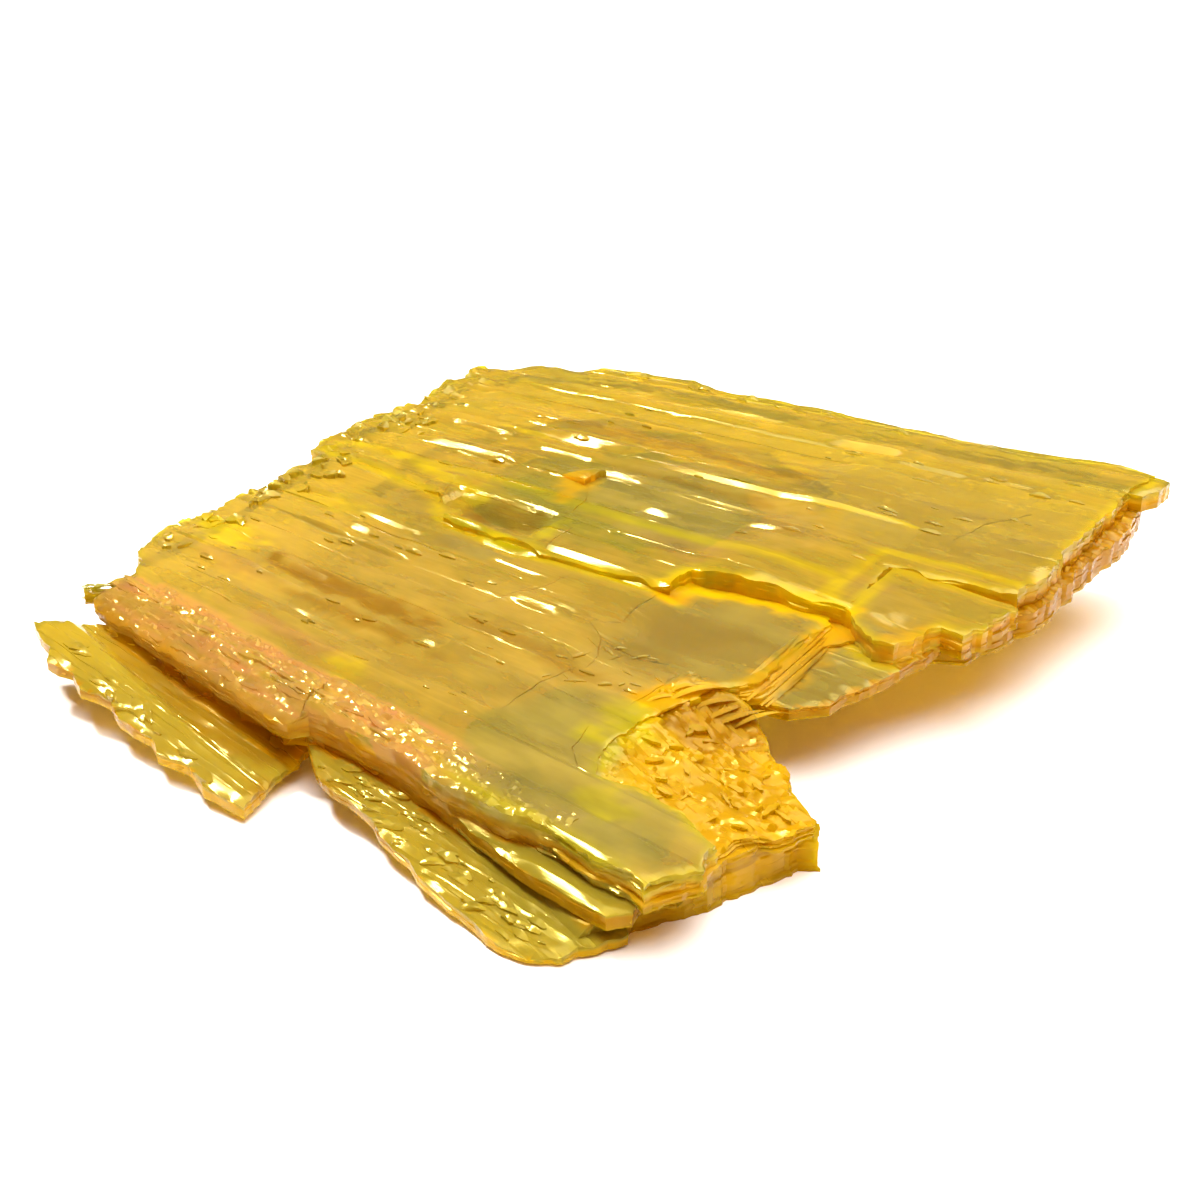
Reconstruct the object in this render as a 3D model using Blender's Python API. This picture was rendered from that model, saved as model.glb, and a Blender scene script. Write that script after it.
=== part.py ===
"""Orpiment specimen: one foliated cleavage plate, 42 x 46 mm, as a single closed solid.

The plate is a stack of thin leaves that grew together. Each leaf is modelled as a closed sheet with
its own outline, top, underside and broken edge, and the sheets are joined into one body.

Plan frame, in millimetres: x runs along the striations, y runs across them from the near edge to
the far edge, and z = 0 is the surface that the plate rests on. "Depth" is how far a surface lies
below the plate's mean top plane. The finished object is moved so that its origin is under the
middle of its outline.
"""

import math
import random
from dataclasses import dataclass
from typing import Callable

import bmesh
import bpy
from mathutils import Vector
from mathutils.geometry import delaunay_2d_cdt

MM = 0.001

# Driving dimensions, mm.
PLAN_CENTRE = (-3.13, 2.28)      # middle of the outline in the plan frame
TOP_HEIGHT = 5.12                # mean top plane over the plan frame's zero point
TOP_RISE_X = -0.031              # the top plane falls towards +x
TOP_RISE_Y = 0.093               # and rises towards the far edge
LEAF_THICKNESS = 1.25            # upper leaves
PLATE_THICKNESS = 2.45           # upper and middle leaves together, at the wing
TABLE_GAP = 0.12                 # the near edge's thin leaf almost touches the table
RIM_STEP = 0.95                  # spacing of the points round a broken edge
ROW_STEP = 1.05                  # spacing of the striation rows across the plate
ROW_POINT_STEP = 3.1             # spacing of the points along a row
RIM_CLEARANCE = 0.5              # rows stop this far inside an edge
ROW_STRETCH = 3.0                # rows are this much closer than the points along them

# The striations fan out: their direction turns with their place across the plate.
FAN_AT_ZERO = math.radians(-3.2)
FAN_PER_MM = math.radians(0.28)

# The far leaf stands over the near leaf in a step along the middle of the plate. The step is a mere
# line at the left end, low in the middle and tall on the right.
STEP_Y = 3.0
STEP_LOW_X = (-14.0, -12.0)      # where the line grows into the low step
STEP_TALL_X = (2.4, 4.2)         # where the low step grows into the tall one
STEP_END_X = (6.0, 10.5)         # where the far leaf comes down to the step leaf
FAR_LIFTS = (0.05, 0.10, 0.22)   # at the line, and what the low and the tall step add
NEAR_SINKS = (0.04, 0.12, 0.44)
NEAR_EDGE_Y = -16.0
FAR_EDGE_Y = 24.0

# The fold along the near edge: its crest, and how far down and out it slopes.
FOLD_START = (-18.6, -12.1)
FOLD_TURN = -0.20                # change of y per mm of x along the crest
FOLD_DROP = 1.15
FOLD_WIDTH = 1.4

# The broken shelf of the front block starts level with the near leaf and sinks to the right.
SHELF_X = (8.4, 13.2)
SHELF_SINK = (0.30, 1.05)
HOLLOW_CENTRE = (11.4, -6.4)     # a deeper hollow at the shelf's far side
HOLLOW_RADIUS = 2.6
HOLLOW_DEPTH = 0.55


@dataclass(frozen=True)
class Ridge:
    """A raised striation: its row, the stretch it covers, its height and its half width, mm."""

    row: float
    start: float
    end: float
    height: float
    half_width: float


RIDGES = (
    Ridge(19.3, 0.5, 16.0, 0.22, 0.50),
    Ridge(16.4, -20.0, -8.0, 0.16, 0.45),
    Ridge(12.9, -13.5, 9.5, 0.34, 0.60),
    Ridge(10.4, -8.5, 1.5, 0.24, 0.50),
    Ridge(8.2, -18.5, -10.5, 0.20, 0.45),
    Ridge(6.4, -6.0, 8.0, 0.20, 0.50),
    Ridge(5.2, -13.0, -6.5, 0.26, 0.45),
    Ridge(-1.2, -19.0, -6.0, 0.18, 0.45),
    Ridge(-3.4, -17.5, -8.5, 0.30, 0.50),
    Ridge(-3.0, -3.5, 2.5, 0.20, 0.45),
    Ridge(-7.2, -17.0, -9.5, 0.26, 0.50),
    Ridge(-9.0, -9.0, 1.0, 0.18, 0.45),
    Ridge(-11.0, -8.0, 7.0, 0.22, 0.50),
    Ridge(-13.6, 2.0, 12.0, 0.18, 0.40),
)

# A shallow basin where a flake of the far leaf has come away: x range, y range and depth, mm.
BASIN_X = (-12.2, -5.4)
BASIN_Y = (1.6, 4.6)
BASIN_DEPTH = 0.32
BASIN_WALL = 0.5

# A shell-shaped chip in the step leaf: centre, radius and depth, mm.
CHIP_CENTRE = (13.6, 3.6)
CHIP_RADIUS = 1.5
CHIP_DEPTH = 0.75


def mean_top(x, y):
    """Height of the plate's mean top plane."""
    return TOP_HEIGHT + TOP_RISE_X * x + TOP_RISE_Y * y


def row_of(x, y):
    """The striation row through a point, named by its y at x = 0."""
    row = y
    for _ in range(3):
        row = y - x * math.tan(FAN_AT_ZERO + FAN_PER_MM * row)
    return row


def row_y(row, x):
    return row + x * math.tan(FAN_AT_ZERO + FAN_PER_MM * row)


def ramp(value, start, end):
    """0 before start, 1 after end, straight between."""
    return min(1.0, max(0.0, (value - start) / (end - start)))


def flute_heights():
    """The small height of every striation row, by its number."""
    rng = random.Random(11)
    return [rng.uniform(-0.09, 0.09) for _ in range(60)]


FLUTES = flute_heights()


def flutes(x, y):
    """Low ribs along the rows, straight between one row and the next."""
    place = row_of(x, y) / ROW_STEP + 25
    first = int(math.floor(place))
    share = place - first
    return FLUTES[first] * (1 - share) + FLUTES[first + 1] * share


def ridges(x, y):
    row = row_of(x, y)
    height = 0.0
    for ridge in RIDGES:
        across = 1 - abs(row - ridge.row) / ridge.half_width
        along = min(ramp(x, ridge.start, ridge.start + 1.2), ramp(ridge.end - x, 0, 1.2))
        height = max(height, ridge.height * max(0.0, across) * along)
    return height


def basin(x, y):
    inside_x = min(ramp(x, BASIN_X[0], BASIN_X[0] + BASIN_WALL), ramp(BASIN_X[1] - x, 0, BASIN_WALL))
    inside_y = min(ramp(y, BASIN_Y[0], BASIN_Y[0] + BASIN_WALL), ramp(BASIN_Y[1] - y, 0, BASIN_WALL))
    return BASIN_DEPTH * min(inside_x, inside_y)


def step_part(x, heights):
    """The far leaf's lift or the near leaf's sink beside the step, at x."""
    line, low, tall = heights
    return line + low * ramp(x, *STEP_LOW_X) + tall * ramp(x, *STEP_TALL_X)


def far_top(x, y):
    """The far leaf: it stands highest over the step and comes down to the mean plane behind."""
    lift = step_part(x, FAR_LIFTS) * (1 - ramp(x, *STEP_END_X))
    lift *= 1 - 0.8 * ramp(y, STEP_Y, FAR_EDGE_Y)
    return mean_top(x, y) + lift + flutes(x, y) + ridges(x, y) - basin(x, y)


def near_top(x, y):
    """The near leaf: level with the mean plane at its near edge, sunk below the far leaf's step."""
    sink = step_part(x, NEAR_SINKS) * ramp(y, NEAR_EDGE_Y, STEP_Y)
    smooth = ramp(x, 2.0, 4.5) * ramp(y, -7.0, -4.0)
    return mean_top(x, y) - sink + (1 - 0.8 * smooth) * (flutes(x, y) + ridges(x, y))


def step_top(x, y):
    """The step leaf at the wing's root, with its shell-shaped chip."""
    away = math.hypot(x - CHIP_CENTRE[0], y - CHIP_CENTRE[1]) / CHIP_RADIUS
    chip = CHIP_DEPTH * max(0.0, 1 - away * away)
    return mean_top(x, y) - 0.03 + 0.6 * flutes(x, y) - chip


def flake_top(x, y):
    """A loose corner of a leaf, tilted up."""
    return far_top(x, y) + 0.15 + 0.30 * ramp(x, -8.4, -6.8)


def fold_top(x, y):
    """The wrinkled fold along the near edge: it slopes from the near leaf down to the amber band."""
    crest = FOLD_START[1] + FOLD_TURN * (x - FOLD_START[0])
    slope = FOLD_DROP * ramp(crest - y, 0.0, FOLD_WIDTH)
    wrinkle = 0.10 * math.sin(2.4 * x + 3.1 * y)
    return mean_top(x, y) - 0.02 - slope + wrinkle


def shelf_top(x, y):
    """The broken shelf of the front block, with coarse wrinkles and a hollow at its far side."""
    sink = SHELF_SINK[0] + SHELF_SINK[1] * ramp(x, *SHELF_X)
    away = math.hypot(x - HOLLOW_CENTRE[0], y - HOLLOW_CENTRE[1]) / HOLLOW_RADIUS
    hollow = HOLLOW_DEPTH * max(0.0, 1 - away)
    wrinkle = 0.13 * math.sin(2.1 * x + 0.9 * y) * math.cos(1.7 * y - 0.8 * x)
    return mean_top(x, y) - sink - hollow + wrinkle


def bottom_leaf_top(x, y):
    return mean_top(x, y) - 1.75 - 0.035 * (x + 3.0) - 0.10 * ramp(-16.5 - y, 0.0, 3.0)


def bottom_leaf_under(x, y):
    return max(TABLE_GAP, mean_top(x, y) - 2.20 - 0.050 * (x + 3.0))


def left_leaf_top(x, y):
    return mean_top(x, y) - 1.40 - 0.062 * (x + 21.4) + 0.25 * ramp(y, -18.5, -15.5)


def left_leaf_under(x, y):
    return mean_top(x, y) - 2.05 - 0.062 * (x + 21.4)


def below_top(depth):
    """A surface that keeps one depth below the mean top plane."""
    return lambda x, y: mean_top(x, y) - depth


def on_table(x, y):
    return 0.0


@dataclass(frozen=True)
class Leaf:
    """One sheet: a counter-clockwise outline in the plan frame, its two surfaces and its edge."""

    name: str
    outline: tuple
    top: Callable
    under: Callable
    ragged: float = 0.14         # how far points of the edge stray in the plan, mm
    lean: float = 0.0            # how far the foot of the edge stands out beyond its top, mm
    rough: float = 0.14          # how far the fibres of the edge stand in or out, mm
    bands: int = 2               # leaves that show in the edge
    striated: bool = False


LEAVES = (
    Leaf(
        "middle",
        (
            (-19.6, -12.4), (-15.5, -13.9), (-10.0, -14.9), (-5.0, -15.6), (-3.4, -15.0), (0.0, -14.6),
            (4.0, -15.2), (8.0, -16.0), (13.0, -16.8), (14.3, -15.4), (14.2, -13.6), (11.0, -11.8),
            (8.6, -9.5), (8.4, -6.0), (9.6, -2.6), (10.3, 0.2), (12.4, 2.8), (13.6, 4.6),
            (15.2, 6.4), (16.2, 9.0), (16.6, 13.0), (16.7, 18.0), (16.5, 22.5), (15.5, 24.2),
            (8.0, 23.4), (0.0, 23.0), (-9.0, 23.0), (-15.0, 22.5), (-20.0, 20.8), (-22.8, 18.4),
            (-22.4, 13.6), (-22.8, 8.0), (-21.5, 2.0), (-20.8, -4.0), (-20.6, -8.5),
        ),
        below_top(0.95), below_top(PLATE_THICKNESS), ragged=0.2, lean=-0.25,
    ),
    Leaf(
        "near",
        (
            (-20.4, -13.2), (-18.6, -12.3), (-15.1, -12.5), (-10.5, -13.8), (-6.3, -15.0), (-3.8, -15.3),
            (-0.2, -15.1), (2.4, -15.4), (4.9, -16.2), (7.5, -16.5), (10.5, -16.9), (14.7, -17.8),
            (15.6, -16.3), (16.0, -15.8), (15.6, -14.3), (14.3, -13.8), (13.4, -13.2), (11.1, -12.8),
            (9.4, -12.9), (8.8, -11.8), (8.5, -9.0), (9.1, -6.4), (9.4, -4.9), (10.4, -3.6),
            (10.4, -0.8), (10.4, 1.3), (10.0, 3.6), (9.0, 5.8), (0.0, 5.6), (-10.0, 6.2),
            (-16.0, 6.0), (-21.5, 6.2), (-22.3, 2.2), (-21.3, -0.5), (-22.0, -1.7), (-21.7, -3.7),
            (-21.8, -7.2), (-21.0, -9.4), (-19.1, -11.2), (-19.4, -12.2),
        ),
        near_top, below_top(LEAF_THICKNESS), ragged=0.18, striated=True,
    ),
    Leaf(
        "far",
        (
            (-23.2, 4.6), (-19.0, 4.3), (-14.4, 3.6), (-12.6, 3.2), (-10.6, 1.1), (-3.9, 0.5),
            (-0.4, 0.6), (3.4, 0.8), (3.4, 2.5), (6.4, 3.1), (11.1, 3.4), (10.9, 5.5),
            (10.6, 8.0), (13.4, 8.3), (16.5, 8.8), (16.9, 12.0), (16.7, 15.2), (16.6, 18.8),
            (16.7, 21.8), (17.0, 23.5), (17.1, 24.7), (15.1, 25.0), (10.5, 24.4), (4.7, 23.8),
            (-1.5, 23.9), (-7.4, 23.5), (-10.5, 24.1), (-14.7, 23.4), (-16.3, 23.2), (-17.5, 22.1),
            (-20.2, 21.9), (-21.5, 20.3), (-24.0, 19.4), (-23.2, 17.6), (-23.8, 16.4), (-22.5, 12.9),
            (-23.7, 9.5),
        ),
        far_top, below_top(LEAF_THICKNESS - 0.1), ragged=0.16, striated=True,
    ),
    Leaf(
        "step",
        (
            (9.4, 4.0), (11.0, 3.2), (11.6, 2.4), (13.0, 1.5), (14.1, 1.7), (14.5, 2.8),
            (14.9, 4.4), (16.0, 4.2), (16.6, 5.6), (16.9, 8.0), (16.5, 9.6), (13.0, 9.8),
            (9.6, 9.4),
        ),
        step_top, below_top(LEAF_THICKNESS + 0.12), ragged=0.12,
    ),
    Leaf(
        "flake",
        ((-8.7, 8.2), (-6.7, 7.9), (-6.5, 9.6), (-7.2, 9.9)),
        flake_top, below_top(0.4), ragged=0.0, rough=0.03, bands=1,
    ),
    Leaf(
        "wing",
        (
            (13.0, 3.6), (14.5, 4.9), (15.7, 5.4), (16.1, 7.0), (17.0, 9.5), (17.2, 11.8),
            (17.2, 15.3), (17.5, 18.5), (17.1, 22.4), (16.6, 24.4), (12.0, 23.6), (11.5, 12.0),
        ),
        below_top(1.0), below_top(2.3), ragged=0.22, rough=0.2, bands=3,
    ),
    Leaf(
        "wing_tab",
        ((15.4, 22.2), (17.2, 22.2), (17.8, 23.2), (17.8, 24.6), (17.2, 24.9), (15.4, 24.5)),
        below_top(0.16), below_top(1.15), ragged=0.06, rough=0.05,
    ),
    Leaf(
        "ledge",
        (
            (9.0, -3.3), (10.8, -3.7), (12.1, -3.6), (13.3, -2.3), (13.7, -0.8), (14.3, 0.9),
            (14.8, 3.2), (14.9, 4.8), (14.6, 6.4), (11.0, 6.6), (9.0, 4.0),
        ),
        below_top(1.08), below_top(1.75), ragged=0.16, rough=0.08, bands=1,
    ),
    Leaf(
        "fold",
        (
            (-19.8, -13.1), (-17.9, -13.7), (-15.2, -14.2), (-11.9, -14.8), (-8.8, -15.4), (-5.9, -15.9),
            (-3.9, -16.1), (-3.3, -15.5), (-1.0, -15.6), (2.6, -16.1), (4.7, -16.6), (8.0, -16.9),
            (10.6, -16.6), (10.6, -15.6), (2.4, -14.4), (-3.8, -14.0), (-6.3, -13.4), (-10.5, -12.4),
            (-15.1, -11.3), (-18.4, -11.3),
        ),
        fold_top, below_top(1.5), ragged=0.10, rough=0.08, bands=1,
    ),
    Leaf(
        "shelf",
        (
            (7.0, -10.0), (9.0, -15.0), (13.6, -16.6), (15.1, -16.0), (15.3, -14.4), (14.9, -13.2),
            (15.1, -12.0), (16.0, -11.3), (16.6, -10.6), (16.9, -9.6), (16.7, -8.9), (15.3, -8.2),
            (14.1, -6.9), (12.8, -5.8), (10.8, -4.3), (7.4, -4.0),
        ),
        shelf_top, below_top(2.1), ragged=0.2, lean=-0.1, rough=0.2,
    ),
    Leaf(
        "strip",
        (
            (-3.8, -15.3), (-1.6, -15.4), (1.4, -15.8), (4.7, -16.5), (8.2, -17.5), (11.2, -18.1),
            (13.6, -18.4), (14.3, -17.7), (14.0, -16.6), (12.0, -15.4), (6.0, -14.0), (-3.4, -13.4),
        ),
        below_top(1.22), below_top(1.95), ragged=0.10, rough=0.06, bands=1,
    ),
    Leaf(
        "bottom",
        (
            (-3.6, -15.4), (-1.8, -16.8), (-0.3, -17.3), (1.2, -17.5), (4.1, -18.6), (6.6, -19.5),
            (9.0, -20.1), (10.7, -20.5), (11.7, -20.4), (12.8, -19.8), (13.5, -18.5), (13.9, -17.4),
            (12.0, -15.6), (6.0, -14.2), (0.0, -13.4), (-3.0, -13.6),
        ),
        bottom_leaf_top, bottom_leaf_under, ragged=0.12, rough=0.06, bands=1,
    ),
    Leaf(
        "left",
        (
            (-21.4, -15.2), (-19.0, -16.3), (-17.0, -16.9), (-13.8, -17.6), (-9.7, -18.4), (-5.6, -19.2),
            (-3.2, -19.3), (-3.4, -18.2), (-3.9, -16.4), (-4.2, -14.6), (-6.0, -12.6), (-14.0, -12.0),
            (-18.6, -12.4), (-19.6, -13.4), (-20.5, -14.4),
        ),
        left_leaf_top, left_leaf_under, ragged=0.14, rough=0.06, bands=1,
    ),
    Leaf(
        "block",
        (
            (3.0, -14.6), (7.0, -17.4), (10.4, -19.7), (12.2, -19.7), (12.9, -18.6), (13.7, -16.3),
            (14.9, -14.1), (15.2, -12.7), (16.0, -10.4), (16.8, -9.1), (15.0, -8.0), (12.0, -6.4),
            (7.0, -5.6), (3.0, -7.0), (1.6, -11.0),
        ),
        below_top(1.75), on_table, ragged=0.16, lean=0.12, rough=0.16, bands=3,
    ),
    Leaf(
        "underleaf",
        (
            (-17.5, 3.5), (-12.0, 0.6), (-4.0, 1.0), (3.6, 4.2), (5.2, 9.0), (4.0, 15.5),
            (-2.0, 18.8), (-12.5, 18.4), (-17.0, 13.0), (-18.6, 8.0),
        ),
        below_top(2.2), below_top(4.0), ragged=0.25, lean=-0.4, rough=0.2,
    ),
    Leaf(
        "foot",
        (
            (-14.0, 6.4), (-9.5, 4.2), (-4.0, 4.6), (1.2, 7.6), (2.2, 12.0), (-1.5, 16.2),
            (-9.0, 16.0), (-13.6, 12.0),
        ),
        below_top(3.8), on_table, ragged=0.25, lean=-0.3, rough=0.2,
    ),
)


def inside(point, outline):
    """Whether a plan point lies inside a closed outline."""
    x, y = point
    found = False
    for (x0, y0), (x1, y1) in zip(outline, outline[1:] + outline[:1]):
        if (y0 > y) != (y1 > y) and x < x0 + (y - y0) * (x1 - x0) / (y1 - y0):
            found = not found
    return found


def edge_distance(point, outline):
    """Distance from a plan point to the nearest stretch of an outline."""
    x, y = point
    nearest = 1e9
    for (x0, y0), (x1, y1) in zip(outline, outline[1:] + outline[:1]):
        dx, dy = x1 - x0, y1 - y0
        share = ((x - x0) * dx + (y - y0) * dy) / (dx * dx + dy * dy)
        share = min(1.0, max(0.0, share))
        nearest = min(nearest, math.hypot(x - x0 - share * dx, y - y0 - share * dy))
    return nearest


def outward(rim):
    """The outward direction at each point of a counter-clockwise rim."""
    normals = []
    for before, after in zip(rim[-1:] + rim[:-1], rim[1:] + rim[:1]):
        dx, dy = after[0] - before[0], after[1] - before[1]
        length = math.hypot(dx, dy)
        normals.append((dy / length, -dx / length))
    return normals


def ragged_rim(leaf, rng):
    """The outline with a point about every RIM_STEP, each strayed a little from the line."""
    points = []
    corners = list(leaf.outline)
    for (x0, y0), (x1, y1) in zip(corners, corners[1:] + corners[:1]):
        length = math.hypot(x1 - x0, y1 - y0)
        count = max(1, round(length / RIM_STEP))
        for k in range(count):
            share = k / count
            stray = rng.uniform(-leaf.ragged, leaf.ragged) if k else 0.0
            x = x0 + share * (x1 - x0) + stray * (y1 - y0) / length
            y = y0 + share * (y1 - y0) - stray * (x1 - x0) / length
            points.append((x, y))
    return points


def row_points(leaf, rim, rng):
    """Plan points inside the rim, in rows along the striations, with crests and feet of ridges."""
    lines = [((k - 25) * ROW_STEP, -25.0, 19.0, ROW_POINT_STEP) for k in range(55)]
    if leaf.striated:
        for ridge in RIDGES:
            for side in (-1, 0, 1):
                row = ridge.row + side * ridge.half_width
                lines.append((row, ridge.start - 0.4, ridge.end + 0.4, 1.9))
    points = []
    for row, start, end, step in lines:
        x = start + rng.uniform(0, 0.5 * step)
        while x < end:
            point = (x, row_y(row, x))
            near = any(abs(point[0] - q[0]) < 0.8 and abs(point[1] - q[1]) < 0.28 for q in points)
            if inside(point, rim) and edge_distance(point, rim) > RIM_CLEARANCE and not near:
                points.append(point)
            x += step * rng.uniform(0.8, 1.2)
    return points


def coarse_points(rim, rng):
    """A few plan points inside the rim, for a plain surface."""
    points = []
    for i in range(-8, 8):
        for j in range(-8, 10):
            point = (3.1 * i + rng.uniform(-0.8, 0.8), 2.7 * j + rng.uniform(-0.8, 0.8))
            if inside(point, rim) and edge_distance(point, rim) > RIM_CLEARANCE:
                points.append(point)
    return points


def triangulate(rim, points):
    """Triangles over the rim and the points inside it, as corner numbers into rim + points."""
    stretched = [Vector((x, y * ROW_STRETCH)) for x, y in rim + points]
    found = delaunay_2d_cdt(stretched, [], [list(range(len(rim)))], 1, 1e-7)
    source = [originals[0] for originals in found[3]]
    return [tuple(source[corner] for corner in face) for face in found[2]]


def leaf_object(leaf):
    """One leaf as a closed mesh: top, underside, and an edge broken into thin bands."""
    rng = random.Random(leaf.name)
    rim = ragged_rim(leaf, rng)
    normals = outward(rim)
    body = bmesh.new()
    rings = []
    levels = leaf.bands + 1
    for level in range(levels + 1):
        share = level / levels
        ring = []
        for (x, y), (nx, ny) in zip(rim, normals):
            stand = leaf.lean * share
            if 0 < level < levels:
                stand += rng.uniform(-leaf.rough, 0.6 * leaf.rough)
            high, low = leaf.top(x, y), leaf.under(x, y)
            z = high + (low - high) * share
            ring.append(body.verts.new((x + stand * nx, y + stand * ny, z)))
        rings.append(ring)
    for upper, lower in zip(rings, rings[1:]):
        for k in range(len(rim)):
            n = (k + 1) % len(rim)
            body.faces.new((upper[k], lower[k], lower[n]))
            body.faces.new((upper[k], lower[n], upper[n]))

    chosen = row_points(leaf, rim, rng) if leaf.striated else coarse_points(rim, rng)
    inner = [body.verts.new((x, y, leaf.top(x, y))) for x, y in chosen]
    for a, b, c in triangulate(rim, chosen):
        corners = rings[0] + inner
        body.faces.new((corners[a], corners[b], corners[c]))

    foot = [(vert.co.x, vert.co.y) for vert in rings[-1]]
    chosen = coarse_points(foot, rng)
    inner = [body.verts.new((x, y, leaf.under(x, y))) for x, y in chosen]
    for a, b, c in triangulate(foot, chosen):
        corners = rings[-1] + inner
        body.faces.new((corners[c], corners[b], corners[a]))

    body.normal_update()
    mesh = bpy.data.meshes.new(leaf.name)
    body.to_mesh(mesh)
    body.free()
    for vert in mesh.vertices:
        vert.co *= MM
    made = bpy.data.objects.new(leaf.name, mesh)
    bpy.context.scene.collection.objects.link(made)
    return made


def orpiment_material():
    """Golden yellow, glossy and lightly translucent."""
    material = bpy.data.materials.new("orpiment")
    material.use_nodes = True
    shader = material.node_tree.nodes["Principled BSDF"]
    shader.inputs["Base Color"].default_value = (0.62, 0.40, 0.05, 1.0)
    shader.inputs["Roughness"].default_value = 0.28
    shader.inputs["Metallic"].default_value = 0.0
    return material


def clear_scene():
    for old in list(bpy.data.objects):
        bpy.data.objects.remove(old, do_unlink=True)


def main():
    clear_scene()
    plate, *others = [leaf_object(leaf) for leaf in LEAVES]
    plate.name = "orpiment_plate"
    plate.data.materials.append(orpiment_material())
    leaves = bpy.data.collections.new("leaves")
    bpy.context.scene.collection.children.link(leaves)
    for leaf in others:
        bpy.context.scene.collection.objects.unlink(leaf)
        leaves.objects.link(leaf)
        leaf.hide_render = True
        leaf.display_type = "WIRE"
    for piece in [plate, *others]:
        piece.location = (-PLAN_CENTRE[0] * MM, -PLAN_CENTRE[1] * MM, 0.0)
    join = plate.modifiers.new("Join leaves", "BOOLEAN")
    join.operation = "UNION"
    join.operand_type = "COLLECTION"
    join.collection = leaves
    join.solver = "EXACT"


main()
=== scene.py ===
"""Looks of an orpiment specimen: one foliated, see-through golden cleavage plate on a pale floor.

The plate is a stack of thin leaves that grew together. Each leaf is cut from a column with a broken,
layered edge by a block with a finely ribbed top, and all the leaves are joined into one closed mesh.

Plan frame, in millimetres: x runs along the striations, y runs across them from the near edge to the
far edge, and z = 0 is the surface that the plate rests on. A "row" names one striation by its y at
x = 0. The finished mesh is moved so that its origin is under the middle of its outline.
"""

import logging
import math
import random
from collections.abc import Callable, Iterable, Sequence
from dataclasses import dataclass, field
from enum import Enum

import bmesh
import bpy
import numpy as np
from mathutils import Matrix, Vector


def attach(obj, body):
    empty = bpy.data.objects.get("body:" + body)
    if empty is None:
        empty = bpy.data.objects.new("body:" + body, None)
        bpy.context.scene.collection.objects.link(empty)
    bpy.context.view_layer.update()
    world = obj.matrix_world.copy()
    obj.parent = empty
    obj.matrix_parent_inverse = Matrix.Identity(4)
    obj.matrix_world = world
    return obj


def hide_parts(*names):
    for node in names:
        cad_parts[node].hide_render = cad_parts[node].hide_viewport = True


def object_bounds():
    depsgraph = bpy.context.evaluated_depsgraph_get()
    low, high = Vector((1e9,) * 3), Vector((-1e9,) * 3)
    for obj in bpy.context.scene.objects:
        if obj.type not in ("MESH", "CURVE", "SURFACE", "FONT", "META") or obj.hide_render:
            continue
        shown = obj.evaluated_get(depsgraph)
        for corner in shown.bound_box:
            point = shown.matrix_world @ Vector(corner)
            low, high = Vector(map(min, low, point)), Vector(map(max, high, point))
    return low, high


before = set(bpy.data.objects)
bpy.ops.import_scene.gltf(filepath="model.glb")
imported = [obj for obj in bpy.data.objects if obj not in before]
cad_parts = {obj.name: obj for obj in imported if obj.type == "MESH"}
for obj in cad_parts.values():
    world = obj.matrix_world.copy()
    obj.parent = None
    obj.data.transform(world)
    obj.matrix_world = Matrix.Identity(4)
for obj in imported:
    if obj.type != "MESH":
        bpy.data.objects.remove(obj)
CAD_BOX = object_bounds()

log = logging.getLogger("orpiment")

MM = 0.001
PLAN_CENTRE = (-3.13, 2.28)      # middle of the outline in the plan frame
RIM_STEP = 0.95                  # spacing of the coarse points round a broken edge
ROWS = (-22.0, 28.0)             # the striation rows that cover the plate
SPAN = (-25.5, 19.0)             # the stretch of x that covers it
CAP = 1.0                        # how far a leaf's column reaches above its top
TOP_HEIGHT = 5.12                # the mean top plane over the plan's origin
TOP_FALL = 0.031                 # its fall per mm towards +x
TOP_CLIMB = 0.093                # its climb per mm towards the far edge

Array = np.ndarray
Outline = tuple[tuple[float, float], ...]
Surface = Callable[[Array, Array], Array]      # from x and y in the plan to a height at each point
Body = bpy.types.Object
Tree = bpy.types.NodeTree
Socket = bpy.types.NodeSocket


STEP_Y = 3.0                     # the line of the middle step between the near leaf and the far one
LOW_STEP = (-14.0, -12.0)        # where along x the step first shows
TALL_STEP = (2.4, 4.2)           # where along x it grows tall
BASIN = ((-12.2, -5.4), (1.6, 4.6))                # the shallow basin: its span along x and along y
BASIN_DEPTH, BASIN_SLOPE = 0.32, 0.5
PANE_LEFT, PANE_NEAR = (2.0, 4.5), (-7.0, -4.0)    # where the smooth pane fades in, along x and y
CHIP = ((13.6, 3.6), 1.5)        # the shell-shaped chip of the step leaf: middle and radius
CHIP_DEPTH = 0.35
HOLLOW = ((11.4, -6.4), 2.6)     # the hollow at the far side of the broken shelf: middle and radius
HOLLOW_DEPTH = 0.55
GROOVE_DEPTH = 0.28              # of the sunk band along the left leaf, beside the fold


# ---------------------------------------------------------------------------------------------
# The plate's main surfaces. Each of the functions from mean_top on takes the x and y of points in the
# plan and gives a height, a depth or a share from 0 to 1 at each of them.


def ramp(value: Array | float, start: float, end: Array | float) -> Array:
    """0 before start, 1 after end, straight between."""
    return np.clip((value - start) / (end - start), 0.0, 1.0)


def until(value: Array, end: float, slope: float) -> Array:
    """1 up to one slope before end, 0 after it, straight between."""
    return ramp(end - value, 0.0, slope)


def dome(x: Array, y: Array, centre: tuple[float, float], radius: float) -> Array:
    """1 at the centre, falling evenly to 0 at the radius."""
    return np.clip(1 - np.hypot(x - centre[0], y - centre[1]) / radius, 0.0, None)


def sides(outline: Sequence[tuple[float, float]]) -> Iterable[tuple]:
    """The two ends of each side of a closed outline."""
    return zip(outline, [*outline[1:], outline[0]])


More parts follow.
